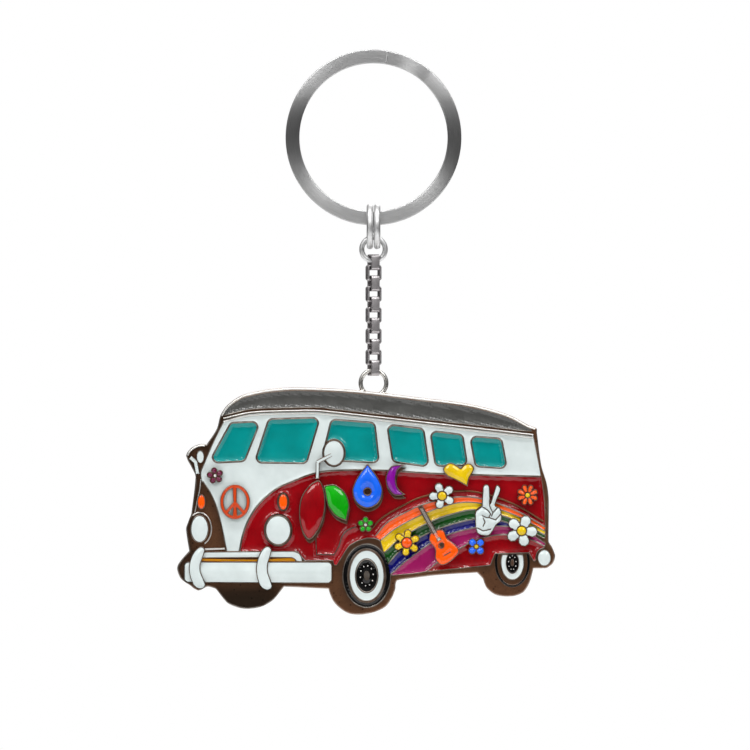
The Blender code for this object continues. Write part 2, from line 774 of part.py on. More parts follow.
def terraces(points, faces, heights, base=0.0, way=1.0):
    """A solid with a height per triangle over a flat base; way -1 builds towards the back."""
    mesh = bmesh.new()
    owner = neighbours(faces)
    around = {}
    for n, face in enumerate(faces.tolist()):
        for v in face:
            around.setdefault(v, set()).add(heights[n])
    made = {}

    def vert(v, level):
        if (v, level) not in made:
            made[v, level] = mesh.verts.new(at_depth(points[v], base + way * level))
        return made[v, level]

    for n, face in enumerate(faces.tolist()):
        mesh.faces.new([vert(v, heights[n]) for v in face])
        mesh.faces.new([vert(v, 0.0) for v in reversed(face)])
    for (a, b), n in owner.items():
        other = owner.get((b, a))
        far = 0.0 if other is None else heights[other]
        if heights[n] <= far:
            continue
        up = [h for h in sorted(around[b] | {0.0}) if far <= h <= heights[n]]
        down = [h for h in sorted(around[a] | {0.0}, reverse=True) if far <= h <= heights[n]]
        mesh.faces.new([vert(b, h) for h in up] + [vert(a, h) for h in down])
    bmesh.ops.triangulate(mesh, faces=[f for f in mesh.faces if len(f.verts) > 3])
    return mesh


def swept(stations, closed):
    """A solid tube through rings of points, with flat ends if it isn't closed."""
    mesh = bmesh.new()
    rings = [[mesh.verts.new(tuple(float(v) for v in p)) for p in ring] for ring in stations]
    pairs = list(zip(rings, rings[1:]))
    if closed:
        pairs.append((rings[-1], rings[0]))
    for first, second in pairs:
        for k in range(len(first)):
            n = (k + 1) % len(first)
            mesh.faces.new((first[k], first[n], second[n], second[k]))
    if not closed:
        mesh.faces.new(rings[0])
        mesh.faces.new(rings[-1])
    return mesh


def round_section(radius):
    angles = [2 * math.pi * (k + 0.5) / WIRE_SIDES for k in range(WIRE_SIDES)]
    return [(radius * math.cos(a), radius * math.sin(a)) for a in angles]


def ring_station(angle, radius, section, across):
    """A wire's section at an angle round a ring in the XZ plane, moved sideways along Y."""
    out = np.array([math.cos(angle), 0.0, math.sin(angle)])
    side = np.array([0.0, 1.0, 0.0])
    return [out * (radius + u) + side * (across + w) for u, w in section]


def wire_ring(outer, wire, steps, start=0.0, finish=360.0):
    closed = finish - start >= 360.0
    radius = (outer - wire) / 2
    section = round_section(wire / 2)
    count = steps if closed else steps + 1
    angles = [math.radians(start + (finish - start) * k / steps) for k in range(count)]
    return swept([ring_station(a, radius, section, 0.0) for a in angles], closed)


def coil_shift(turned, ramp, pitch):
    """Sideways place of a two-turn coil: flat, a ramp at the middle, then flat again."""
    t = (turned - 2 * math.pi + ramp / 2) / ramp
    t = min(1.0, max(0.0, t))
    return pitch * (3 * t**2 - 2 * t**3 - 0.5)


def coil(radius, section, pitch, steps, ramp_deg, end_gap_deg, seam_deg):
    """A two-turn split coil in the XZ plane; the seam angle is where it changes layer."""
    ramp = math.radians(ramp_deg)
    start = ramp / 2 + math.radians(end_gap_deg)
    finish = 4 * math.pi - start
    flat = (finish - start - ramp) / 2
    ramp_steps = 8
    flat_steps = (steps - ramp_steps) // 2
    turns = [start + flat * k / flat_steps for k in range(flat_steps)]
    turns += [start + flat + ramp * k / ramp_steps for k in range(ramp_steps)]
    turns += [start + flat + ramp + flat * k / flat_steps for k in range(flat_steps + 1)]
    seam = math.radians(seam_deg)
    return swept(
        [ring_station(seam + t, radius, section, coil_shift(t, ramp, pitch)) for t in turns],
        False,
    )


def link_mesh():
    """One rounded rectangular link of flat strip, in the XZ plane about its middle."""
    width = LINK_INNER_WIDTH + LINK_THICK
    height = LINK_PITCH + LINK_THICK + LINK_SLACK
    half = LINK_THICK / 2
    side = LINK_STRIP / 2
    stations = []
    for corner in range(4):
        sign = ((1, 1), (-1, 1), (-1, -1), (1, -1))[corner]
        cx = sign[0] * (width / 2 - LINK_CORNER)
        cz = sign[1] * (height / 2 - LINK_CORNER)
        for k in range(LINK_CORNER_STEPS + 1):
            angle = math.pi / 2 * (corner + k / LINK_CORNER_STEPS)
            way = (math.cos(angle), math.sin(angle))
            inner = (cx + way[0] * (LINK_CORNER - half), cz + way[1] * (LINK_CORNER - half))
            outer = (cx + way[0] * (LINK_CORNER + half), cz + way[1] * (LINK_CORNER + half))
            stations.append(
                [
                    (inner[0], -side, inner[1]),
                    (outer[0], -side, outer[1]),
                    (outer[0], side, outer[1]),
                    (inner[0], side, inner[1]),
                ]
            )
    return swept(stations, True)


# ---------------------------------------------------------------- heights of the hanging pieces

LINK_HEIGHT = LINK_PITCH + 2 * LINK_THICK + LINK_SLACK
LOOP_TOP_WIRE = (LOOP_OUTER_D - LOOP_WIRE) / 2
LAST_LINK = LOOP_OUTER_D / 2 - LOOP_WIRE - LOOP_FIT - LINK_THICK + LINK_HEIGHT / 2
FIRST_LINK = LAST_LINK + LINK_PITCH * (LINKS - 1)
JUMP_INNER = JUMP_OUTER_D / 2 - JUMP_WIRE
JUMP_CENTRE = FIRST_LINK + LINK_HEIGHT / 2 - LINK_THICK - JUMP_FIT + JUMP_INNER
CONNECTOR_INNER = CONNECTOR_OUTER_D / 2 - CONNECTOR_WIRE
CONNECTOR_CENTRE = JUMP_CENTRE + JUMP_INNER - CONNECTOR_FIT + CONNECTOR_INNER
SPLIT_INNER = SPLIT_OUTER_D / 2 - SPLIT_STRIP
SPLIT_CENTRE = CONNECTOR_CENTRE + CONNECTOR_INNER - SPLIT_FIT + SPLIT_INNER
HOLD = SPLIT_CENTRE + SPLIT_INNER


def height(v):
    """World height of a height measured from the roof loop's centre."""
    return v - HOLD


def bar_between(upper_centre):
    """Where a link turns on the one above: midway between the two bars that meet."""
    return upper_centre - LINK_HEIGHT / 2 + LINK_THICK + LINK_SLACK / 2


# ---------------------------------------------------------------- pieces


def build_rings():
    half = SPLIT_STRIP / 2
    thick = SPLIT_LAYER / 2
    cut = SPLIT_BEVEL
    section = [
        (half - cut, -thick), (half, -thick + cut), (half, thick - cut), (half - cut, thick),
        (cut - half, thick), (-half, thick - cut), (-half, cut - thick), (cut - half, -thick),
    ]
    pitch = SPLIT_LAYER + SPLIT_LAYER_GAP
    mesh = coil(
        SPLIT_INNER + half, section, pitch, SPLIT_STEPS,
        SPLIT_RAMP_DEG, SPLIT_END_GAP_DEG, SPLIT_SEAM_DEG,
    )
    make_object("split_ring", mesh, metal("split_ring"), (0, 0, height(SPLIT_CENTRE)))

    mesh = coil(
        CONNECTOR_INNER + CONNECTOR_WIRE / 2, round_section(CONNECTOR_WIRE / 2),
        CONNECTOR_WIRE + CONNECTOR_TURN_GAP, CONNECTOR_STEPS,
        CONNECTOR_RAMP_DEG, CONNECTOR_END_GAP_DEG, CONNECTOR_SEAM_DEG,
    )
    turn = Matrix.Rotation(math.pi / 2, 4, "Z")
    item = (0, 0, height(SPLIT_CENTRE))
    shift = Matrix.Translation((0, 0, CONNECTOR_CENTRE - SPLIT_CENTRE))
    make_object("connector_ring", mesh, metal("connector_ring"), item, shift @ turn)

    mesh = wire_ring(JUMP_OUTER_D, JUMP_WIRE, JUMP_STEPS)
    item = (0, 0, height(CONNECTOR_CENTRE))
    shift = Matrix.Translation((0, 0, JUMP_CENTRE - CONNECTOR_CENTRE))
    make_object("jump_ring", mesh, metal("jump_ring"), item, shift)


def build_chain():
    for n in range(LINKS):
        centre = FIRST_LINK - LINK_PITCH * n
        edge_on = n % 2 == 0
        pivot = JUMP_CENTRE - JUMP_OUTER_D / 2 + JUMP_WIRE / 2
        if n > 0:
            pivot = bar_between(centre + LINK_PITCH)
        angle = math.radians(CHAIN_TURN_DEG + (90.0 if edge_on else 0.0))
        turn = Matrix.Rotation(angle, 4, "Z")
        shift = Matrix.Translation((0, 0, centre - pivot))
        name = f"chain_link_{n + 1:02d}"
        make_object(name, link_mesh(), metal(name), (0, 0, height(pivot)), shift @ turn)


def van_origin():
    return (0, 0, height(LOOP_TOP_WIRE))


def van_object(name, mesh, skin):
    shift = Matrix.Translation((0, 0, -LOOP_TOP_WIRE))
    make_object(name, mesh, skin, van_origin(), shift)


def build_loop(roof):
    """The wire loop, open at the bottom where its two feet stand on the roof."""
    reach = LOOP_OUTER_D / 2
    feet = []
    for side in (-1, 1):
        angle = 90.0
        while angle > -80.0:
            turn = math.radians(angle - 1.0)
            places = [
                (side * math.cos(turn) * r, math.sin(turn) * r) for r in (reach - LOOP_WIRE, reach)
            ]
            low = min(z - np.interp(x, roof[:, 0], roof[:, 1]) for x, z in places)
            if low < LOOP_ROOF_GAP:
                break
            angle -= 1.0
        feet.append(angle)
    mesh = wire_ring(LOOP_OUTER_D, LOOP_WIRE, LOOP_STEPS, feet[1], 180.0 - feet[0])
    van_object("hanger_loop", mesh, metal("hanger_loop"))


def band_loop(upper, lower):
    return smooth(upper, False) + smooth(lower, False)[::-1]


def panel_shapes():
    """Everything drawn on the plate's front, painted in order; 1 is bare metal."""
    names = {}
    shapes = [(1, anticlockwise(smooth(SILHOUETTE, True)))]

    def pool(name, colour, loop):
        number = len(names) + 2
        names[number] = (name, colour)
        shapes.append((number, loop))

    def bare(loop):
        shapes.append((1, loop))

    roof = np.array(smooth(ROOF_LINE, False))
    pool("roof_enamel", GREY, list(roof - (0, ROOF_RIM)) + smooth(GUTTER_LINE, False)[::-1])
    v_and_belt = smooth(V_RIGHT + BELT[1:], False)
    side = smooth(SIDE_LINE, False)
    upper_side = [p for p in side if p[1] > BELT[-1][1]]
    lower_side = [p for p in side if p[1] <= BELT[-1][1]]
    white = smooth(GUTTER_LINE, False) + upper_side + v_and_belt[::-1]
    white += smooth(V_LEFT, False)[::-1] + smooth(FRONT_LINE, False)[::-1]
    pool("body_white", WHITE, white)
    for n, corners in enumerate(WINDOWS):
        loop = rounded(corners, WINDOW_CORNER)
        bare(offset(loop, LINE))
        pool(f"window_{n + 1}", TEAL, loop)
    red = v_and_belt + lower_side + smooth(REAR_ARCH, False)[::-1]
    red += smooth(SILL, False)[::-1] + smooth(FRONT_ARCH, False)[::-1] + [V_RIGHT[0]]
    pool("body_red", RED, red)
    for n, name in enumerate(BAND_NAMES):
        pool(name, BAND_COLOURS[n], band_loop(RAINBOW[n + 1], RAINBOW[n + 2]))
    rear = smooth(RAINBOW[-1], False) + smooth(REAR_ARCH, False)[::-1] + smooth(SILL, False)[::-1]
    pool("body_red_rear", RED, rear)
    bare(strip(smooth(GUTTER_LINE, False), GUTTER))
    bare(strip(v_and_belt, LINE))
    bare(strip(smooth(V_LEFT, False), LINE))
    for line in RAINBOW[1:]:
        bare(strip(smooth(line, False), FINE_LINE))
    bare(strip(smooth(SILL, False), LINE))
    bare(strip(smooth(DOOR_LINE, False), FINE_LINE))
    bare(strip(smooth(REAR_ARCH, False), LINE))
    bare(BUMPER_SEAT)
    bare(ellipse(*HEADLIGHTS[1][:1], grown(HEADLIGHTS[1][1], LAMP_RIM), 20))
    bare(ellipse(*SIGNALS[1][:1], grown(SIGNALS[1][1], LAMP_RIM), 14))
    bare(ellipse(MIRROR[0], grown(MIRROR[1], LAMP_RIM), 20))
    bare(ellipse(BUMPER_END[0], grown(BUMPER_END[1], LAMP_RIM), 20))
    pool("front_tyre_ring", BLACK, ellipse(FRONT_WHEEL, FRONT_TYRE, 36))
    bare(ellipse(FRONT_WHEEL, grown(FRONT_TYRE, -TYRE_LINE), 36))
    pool("front_white_ring", WHITE, ellipse(FRONT_WHEEL, FRONT_WHITE, 28))
    bare(ellipse(FRONT_WHEEL, FRONT_WHITE_HOLE, 24))
    pool("front_hub", BLACK, ellipse(FRONT_WHEEL, FRONT_HUB, 20))
    bare(ellipse(FRONT_WHEEL, FRONT_HUB_HOLE, 12))
    floor = REAR_WHEEL[1] - REAR_TYRE[1]
    pool("rear_white_ring", WHITE, clip(ellipse(REAR_WHEEL, REAR_WHITE, 24), floor, REAR_CLIP))
    bare(clip(ellipse(REAR_WHEEL, REAR_WHITE_HOLE, 20), floor, REAR_CLIP))
    return shapes, names


def build_plate():
    shapes, names = panel_shapes()
    points, faces, labels = flat_map(shapes, SMALLEST_POOL, 1)
    solid = labels > 0
    depths = [PLATE_RIM if n == 1 else PLATE_RIM - POOL_DEPTH for n in labels[solid]]
    van_object("van_plate", terraces(points, faces[solid], depths), metal("van_plate", 0.3, DARK_METAL))
    group = components(faces, labels)
    size = areas(points, faces)
    for number, (name, colour) in names.items():
        largest = max(set(group[labels == number]), key=lambda n: size[group == n].sum())
        loops = [[points[v] for v in loop] for loop in border_loops(faces[group == largest])]
        mesh = prism(inset(loops, EDGE_GAP), PLATE_RIM - POOL_DEPTH + SEAT_GAP, PLATE_RIM - ENAMEL_SINK, 0)
        van_object(name, mesh, enamel(name, colour))
    build_loop(np.array(smooth(ROOF_LINE, False)))


def relief(name, colour, loops, top):
    loops = [anticlockwise(loops[0])] + [anticlockwise(loop)[::-1] for loop in loops[1:]]
    mesh = prism(loops, PLATE_RIM + SEAT_GAP, top, RELIEF_CHAMFER)
    van_object(name, mesh, enamel(name, colour))


def build_guard(name, outline):
    """An upright that crosses the bumper and the rail and stands on the plate at both ends."""
    low = BUMPER_BAR[2][1] - EDGE_GAP
    high = RAIL[0][1] + EDGE_GAP
    outer = anticlockwise(smooth(outline, True))
    points, faces, labels = flat_map([(1, outer), (2, clip(outer, low, high))], 0.0, 1)
    solid = labels > 0
    seats = {1: PLATE_RIM + SEAT_GAP, 2: RELIEF_LOW + SEAT_GAP}
    reach = [RELIEF_HIGH - seats[n] for n in labels[solid]]
    mesh = terraces(points, faces[solid], reach, RELIEF_HIGH, -1.0)
    van_object(name, mesh, enamel(name, WHITE))


def peace_loops():
    """A ring with a post and two slanted arms inside it."""
    inner = grown(PEACE_OUTER, -PEACE_STROKE)
    x, z = PEACE
    shapes = [(1, ellipse(PEACE, PEACE_OUTER, 32)), (2, ellipse(PEACE, inner, 28))]
    shapes.append((1, strip([(x, z + inner[1] + 0.2), (x, z - inner[1] - 0.2)], PEACE_STROKE)))
    for side in (-1, 1):
        foot = (x + side * inner[0] * 0.78, z - inner[1] * 0.78)
        shapes.append((1, strip([(x, z - 0.1), foot], PEACE_STROKE)))
    points, faces, labels = flat_map(shapes, 0.0, 1)
    return [[points[v] for v in loop] for loop in border_loops(faces[labels == 1])]


def build_reliefs():
    bar = rounded(BUMPER_BAR, BUMPER_CORNER)
    relief("bumper_bar", WHITE, [bar], RELIEF_LOW)
    relief("bumper_rail", WHITE, [smooth(RAIL, True)], RELIEF_LOW)
    for n, outline in enumerate(GUARDS):
        build_guard(f"bumper_guard_{n + 1}", outline)
    for n, (centre, radii) in enumerate(HEADLIGHTS):
        relief(f"headlight_{n + 1}", WHITE, [ellipse(centre, radii, 22)], RELIEF_MID)
    for n, (centre, radii) in enumerate(SIGNALS):
        relief(f"signal_{n + 1}", ORANGE, [ellipse(centre, radii, 14)], RELIEF_MID)
    relief("mirror_disc", WHITE, [ellipse(*MIRROR, 20)], RELIEF_MID)
    relief("bumper_end", WHITE, [ellipse(*BUMPER_END, 18)], RELIEF_LOW)
    loops = sorted(peace_loops(), key=lambda loop: -abs(signed_area(loop)))
    relief("peace_sign", PEACE_ORANGE, loops, RELIEF_LOW)
    relief("heart", YELLOW, [smooth(HEART, True)], RELIEF_MID)
    relief("hand", WHITE, [smooth(HAND, True)], RELIEF_MID)
    relief("guitar_body", ORANGE, [smooth(GUITAR, True)], RELIEF_MID)
    relief("relief_board", RED, [smooth(RED_BOARD, True)], RELIEF_HIGH)
    relief("relief_leaf", LEAF_GREEN, [smooth(GREEN_LEAF, True)], RELIEF_HIGH)
    hole = ellipse(*BLUE_DROP_HOLE, 10)
    relief("relief_drop", BLUE, [smooth(BLUE_DROP, True), hole], RELIEF_HIGH)
    relief("relief_moon", PURPLE, [smooth(PURPLE_MOON, True)], RELIEF_HIGH)
    for name, colour, centre, petals, first, distance, radius in FLOWERS:
        relief(name, colour, [flower(centre, petals, first, distance, radius)], RELIEF_MID)


def main():
    clear_scene()
    build_rings()
    build_chain()
    build_plate()
    build_reliefs()


main()
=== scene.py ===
import math

import bmesh
import bpy
import numpy as np
from mathutils import Matrix, Vector
from mathutils.geometry import delaunay_2d_cdt
from mathutils.kdtree import KDTree


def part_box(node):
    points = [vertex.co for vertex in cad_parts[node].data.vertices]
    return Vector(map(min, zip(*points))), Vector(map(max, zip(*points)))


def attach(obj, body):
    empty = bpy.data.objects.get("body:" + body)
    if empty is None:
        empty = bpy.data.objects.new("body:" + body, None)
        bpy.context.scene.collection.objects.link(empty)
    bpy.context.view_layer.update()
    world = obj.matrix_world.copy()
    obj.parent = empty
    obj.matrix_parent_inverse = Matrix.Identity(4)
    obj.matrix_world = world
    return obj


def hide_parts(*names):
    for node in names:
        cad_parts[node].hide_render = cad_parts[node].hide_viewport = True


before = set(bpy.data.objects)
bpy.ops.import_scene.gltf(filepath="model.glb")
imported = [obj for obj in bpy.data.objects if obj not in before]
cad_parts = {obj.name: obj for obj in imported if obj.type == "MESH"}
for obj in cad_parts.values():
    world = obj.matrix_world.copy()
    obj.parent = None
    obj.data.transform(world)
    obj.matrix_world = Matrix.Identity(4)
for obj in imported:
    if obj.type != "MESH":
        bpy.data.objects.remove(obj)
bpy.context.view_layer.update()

MM = 0.001
# sizes in millimetres, depths counted from the casting's back
PLATE = 1.8
HALF = PLATE / 2
SEAT = PLATE + 0.03
LOW, MID, HIGH = PLATE + 0.45, PLATE + 0.7, PLATE + 1.0
POCKET_FLOOR = PLATE - 0.4
POOL_RIM, POOL_BED, POOL_GROWTH = PLATE - 0.03, PLATE - 0.395, 0.06
BACK_ROUNDING = 0.25
# the drawing's origin is the middle of the roof loop
ORIGIN_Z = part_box("hanger_loop")[1].z - 2.525 * MM



def placed(name, data):
    """A new object in the scene."""
    item = bpy.data.objects.new(name, data)
    bpy.context.scene.collection.objects.link(item)
    return item


# ------------------------------------------------------------------ materials


def colour(text):
    """A hex sRGB colour as linear RGBA."""
    parts = [int(text[k : k + 2], 16) / 255 for k in (0, 2, 4)]
    return (*[c / 12.92 if c <= 0.04045 else ((c + 0.055) / 1.055) ** 2.4 for c in parts], 1.0)


def add(tree, kind, settings=None, links=None):
    """One node with its settings (properties or socket values) and its incoming links."""
    node = tree.nodes.new(kind)
    for key, value in (settings or {}).items():
        if isinstance(key, str) and hasattr(node, key):
            setattr(node, key, value)
        else:
            node.inputs[key].default_value = value
    for key, source in (links or {}).items():
        tree.links.new(source, node.inputs[key])
    return node


def new_material(name):
    """A material with its tree, its shader and the object's own coordinates."""
    skin = bpy.data.materials.new(name)
    skin.use_nodes = True
    tree = skin.node_tree
    return skin, tree, tree.nodes["Principled BSDF"], add(tree, "ShaderNodeTexCoord").outputs["Object"]


def noise(tree, place, scale, detail, rough=0.5):
    """Cloudy noise; the scale counts its waves to a metre of the object."""
    settings = {"Scale": scale, "Detail": detail, "Roughness": rough}
    return add(tree, "ShaderNodeTexNoise", settings, {"Vector": place}).outputs["Fac"]


def dots(tree, place, scale):
    """Distance from scattered points."""
    return add(tree, "ShaderNodeTexVoronoi", {"Scale": scale}, {"Vector": place}).outputs["Distance"]


def remap(tree, source, to_low, to_high, from_low=0.0, from_high=1.0):
    """A value carried from one range to another and kept within it."""
    ends = {"From Min": from_low, "From Max": from_high, "To Min": to_low, "To Max": to_high}
    return add(tree, "ShaderNodeMapRange", ends, {"Value": source}).outputs["Result"]


def blend(tree, low, high, share):
    """A colour between two, each a hex value or another node's output."""
    node = add(tree, "ShaderNodeMix", {"data_type": "RGBA"}, {"Factor": share})
    for socket, value in ((6, low), (7, high)):
        if isinstance(value, str):
            node.inputs[socket].default_value = colour(value)
        else:
            tree.links.new(value, node.inputs[socket])
    return node.outputs[2]


def dress(tree, shader, base, height, strength, distance, values):
    """Give the shader its colour, its bump and its other values, each a number or an output."""
    bump = add(tree, "ShaderNodeBump", {"Strength": strength, "Distance": distance}, {"Height": height})
    tree.links.new(base, shader.inputs["Base Color"])
    tree.links.new(bump.outputs[0], shader.inputs["Normal"])
    for word, value in values.items():
        if isinstance(value, float):
            shader.inputs[word].default_value = value
        else:
            tree.links.new(value, shader.inputs[word])


def soft_enamel(name, hexa, deep, rough=0.07):
    """Soft enamel: coloured resin cured in a cast pocket, glossy, faintly rippled and cloudy."""
    skin, tree, shader, place = new_material("soft_enamel_" + name)
    # clouding about 4 mm across, where the resin lay thicker
    cloud = remap(tree, noise(tree, place, 250.0, 3.0), 0.0, 1.0, 0.35, 0.75)
    # ripples about 1.6 mm across and a few dust pits under 0.2 mm
    pit = remap(tree, dots(tree, place, 900.0), -0.5, 0.0, 0.0, 0.12)
    height = add(tree, "ShaderNodeMath", {"operation": "ADD"}, {0: noise(tree, place, 620.0, 1.0), 1: pit})
    values = {"Roughness": rough, "IOR": 1.47}
    dress(tree, shader, blend(tree, hexa, deep, cloud), height.outputs[0], 0.12, 0.00006, values)
    return skin


def cast_nickel():
    """Nickel-plated zinc casting: bright on rubbed raised lines, brown and grainy on the flats."""
    skin, tree, shader, place = new_material("nickel_plated_zinc_casting")
    wear = add(tree, "ShaderNodeAttribute", {"attribute_name": "rubbed"}).outputs["Fac"]
    dirt_and_painted_shade = add(tree, "ShaderNodeAttribute", {"attribute_name": "tarnish_and_painted_shade"}).outputs["Fac"]
    # cast grain 0.25 mm across, drawn a little coarse so that it shows
    grain = noise(tree, place, 4000.0, 3.0, 0.7)
    uneven = remap(tree, noise(tree, place, 500.0, 4.0), -0.3, 0.3, 0.3, 0.7)
    worn = add(tree, "ShaderNodeMath", {"operation": "ADD", "use_clamp": True}, {0: wear, 1: uneven}).outputs[0]
    bright = add(tree, "ShaderNodeMath", {"operation": "MULTIPLY"}, {0: worn, 1: wear}).outputs[0]
    # dark casting pores under 0.2 mm, one to every square millimetre or so
    pore = remap(tree, dots(tree, place, 1100.0), 0.75, 0.0, 0.08, 0.2)
    base = blend(tree, "583a28", "79553e", grain)
    # the tarnish share darkens the casting with dirt between the pockets and in the steps, and with painted shade
    # under the bumper and along the left edge
    for tone, share in (("2c241d", dirt_and_painted_shade), ("1d1712", pore), ("d8d2c8", bright)):
        base = blend(tree, base, tone, share)
    values = {"Roughness": remap(tree, bright, 0.42, 0.16), "Metallic": 1.0}
    dress(tree, shader, base, grain, 0.35, 0.00003, values)
    return skin


def plated_wire(name, hexa, rough, dull):
    """Nickel-plated steel wire or strip: polished, with faint drawing marks and uneven shine."""
    skin, tree, shader, place = new_material(name)
    smear = noise(tree, place, 900.0, 4.0)
    values = {"Roughness": remap(tree, smear, rough * 0.7, rough * 1.5), "Metallic": 1.0}
    marks = noise(tree, place, 6000.0, 2.0)
    dress(tree, shader, blend(tree, hexa, dull, smear), marks, 0.12, 0.00001, values)
    return skin


def brushed_strip():
    """Nickel-plated steel strip, brushed along its turns; UV u runs along, v across in millimetres."""
    skin, tree, shader, _ = new_material("brushed_nickel_plated_steel")
    uv = add(tree, "ShaderNodeUVMap", {"uv_map": "along"}).outputs[0]
    # brush marks 0.06 mm apart and several millimetres long
    drawn = add(tree, "ShaderNodeMapping", {"Scale": (0.25, 16.0, 1.0)}, {"Vector": uv}).outputs[0]
    marks = noise(tree, drawn, 1.0, 3.0, 0.65)
    tangent = add(tree, "ShaderNodeTangent", {"direction_type": "UV_MAP", "uv_map": "along"}).outputs[0]
    values = {
        "Tangent": tangent, "Metallic": 1.0, "Roughness": 0.37, "Anisotropic": 0.9, "Anisotropic Rotation": 0.25
    }
    dress(tree, shader, blend(tree, "989898", "dadada", marks), marks, 0.5, 0.00002, values)
    return skin


CAST = cast_nickel()
WIRE = plated_wire("nickel_plated_steel_wire", "dcdad6", 0.24, "b0aca6")
SATIN = plated_wire("satin_nickel_plated_wire", "dedede", 0.4, "bebebe")
LINKS = plated_wire("nickel_plated_steel_strip", "cac5c6", 0.36, "939091")
SILVER = plated_wire("rubbed_nickel_line", "f2f1ee", 0.32, "cfccc6")
BRUSHED = brushed_strip()
WHITE = soft_enamel("white", "d2dbda", "c2cccb", 0.1)
TEAL = soft_enamel("teal", "008a88", "007b79", 0.12)
RED = soft_enamel("red", "96040f", "7d020a")
GREY = soft_enamel("grey", "545452", "474745", 0.11)
ORANGE = soft_enamel("orange", "f25a08", "e04c04")
RUST = soft_enamel("rust_orange", "c8431a", "b33a12", 0.12)
YELLOW = soft_enamel("yellow", "e2c00e", "cda908")
GREEN = soft_enamel("deep_green", "024a05", "013803")
LEAF = soft_enamel("leaf_green", "10a510", "089008")
NAVY = soft_enamel("navy", "07076e", "040450")
MAGENTA = soft_enamel("magenta", "991a5c", "82124c")
PURPLE = soft_enamel("purple", "850f98", "6c0a7e")
PLUM = soft_enamel("plum", "6a0f3c", "540a2e")
BLUE = soft_enamel("blue", "1b6cf2", "1259d8")
BLACK = soft_enamel("black", "060606", "020202", 0.1)
AMBER = soft_enamel("amber", "dc930f", "c07c08", 0.12)

# ------------------------------------------------------------------ outlines


def at(u, v, depth):
    """World place of a drawing point at a depth above the casting's back, both in millimetres."""
    return (u * MM, (HALF - depth) * MM, ORIGIN_Z + v * MM)


def cap_loops(node, front):
    """Borders of a node's front-most or back-most flat cap, in drawing millimetres."""
    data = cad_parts[node].data
    co = np.array([tuple(v.co) for v in data.vertices])
    ids = np.array([tuple(p.vertices) for p in data.polygons])
    level = co[:, 1].min() if front else co[:, 1].max()
    flat = (np.abs(co[ids][:, :, 1] - level) < 2e-6).all(1)
    ahead, sides = {}, set()
    for tri in ids[flat]:
        corner = []
        for n in tri:
            p = co[n]
            corner.append((round(p[0] / MM, 3), round((p[2] - ORIGIN_Z) / MM, 3)))
        a, b, c = (np.array(k) for k in corner)
        if (b - a)[0] * (c - a)[1] - (b - a)[1] * (c - a)[0] < 0:
            corner = corner[::-1]
        for k in range(3):
            sides.add((corner[k], corner[(k + 1) % 3]))
    for a, b in sides:
        if (b, a) not in sides:
            ahead[a] = b
    loops = []
    while ahead:
        start = next(iter(ahead))
        loop, step = [start], ahead.pop(start)
        while step != start:
            loop.append(step)
            step = ahead.pop(step)
        loops.append(np.array(loop))
    return sorted(loops, key=lambda one: -abs(area(one)))


def area(loop):
    """Signed area of a closed loop, positive when it runs anticlockwise."""
    q = np.roll(loop, -1, 0)
    return 0.5 * float(np.sum(loop[:, 0] * q[:, 1] - loop[:, 1] * q[:, 0]))


def refine(loop, step=0.16, sharp=34.0, closed=True):
    """A smooth line through the points, kept sharp where it turns hard, in even short steps."""
    p = np.array(loop, float)
    if closed:
        keep = np.linalg.norm(p - np.roll(p, 1, 0), axis=1) > 0.05
        p = p[keep]
    n = len(p)
    way = np.roll(p, -1, 0) - p
    size = np.linalg.norm(way, axis=1)
    unit = way / np.maximum(size, 1e-9)[:, None]
    turn = np.degrees(np.arccos(np.clip(np.sum(unit * np.roll(unit, 1, 0), 1), -1, 1)))
    corner = turn > sharp
    if not closed:
        corner[0] = corner[-1] = True
    before, after = np.roll(unit, 1, 0), unit
    weight = np.roll(size, 1)[:, None], size[:, None]
    mean = (before * weight[0] ** 2 + after * weight[1] ** 2) / (weight[0] ** 2 + weight[1] ** 2)
    mean /= np.maximum(np.linalg.norm(mean, axis=1), 1e-9)[:, None]
    line = []
    for i in range(n if closed else n - 1):
        j = (i + 1) % n
        start = after[i] if corner[i] else mean[i]
        finish = after[i] if corner[j] else mean[j]
        count = max(1, int(round(size[i] / step)))
        t = np.arange(count)[:, None] / count
        line.append(
            (2 * t**3 - 3 * t**2 + 1) * p[i]
            + (t**3 - 2 * t**2 + t) * start * size[i]
            + (3 * t**2 - 2 * t**3) * p[j]
            + (t**3 - t**2) * finish * size[i]
        )
    if not closed:
        line.append(p[-1:])
    return np.vstack(line)


def normals(loop, closed=True):
    """Right-hand normals, which point out of an anticlockwise loop."""
    if closed:
        way = np.roll(loop, -1, 0) - np.roll(loop, 1, 0)
    else:
        way = np.gradient(loop, axis=0)
    way /= np.maximum(np.linalg.norm(way, axis=1), 1e-9)[:, None]
    return np.stack([way[:, 1], -way[:, 0]], 1)


def ellipse(cu, cv, ru, rv):
    """A closed ellipse in even turns, about 0.16 mm apart."""
    steps = max(16, int(2 * math.pi * max(ru, rv) / 0.16))
    t = 2 * math.pi * np.arange(steps) / steps
    return np.stack([cu + ru * np.cos(t), cv + rv * np.sin(t)], 1)


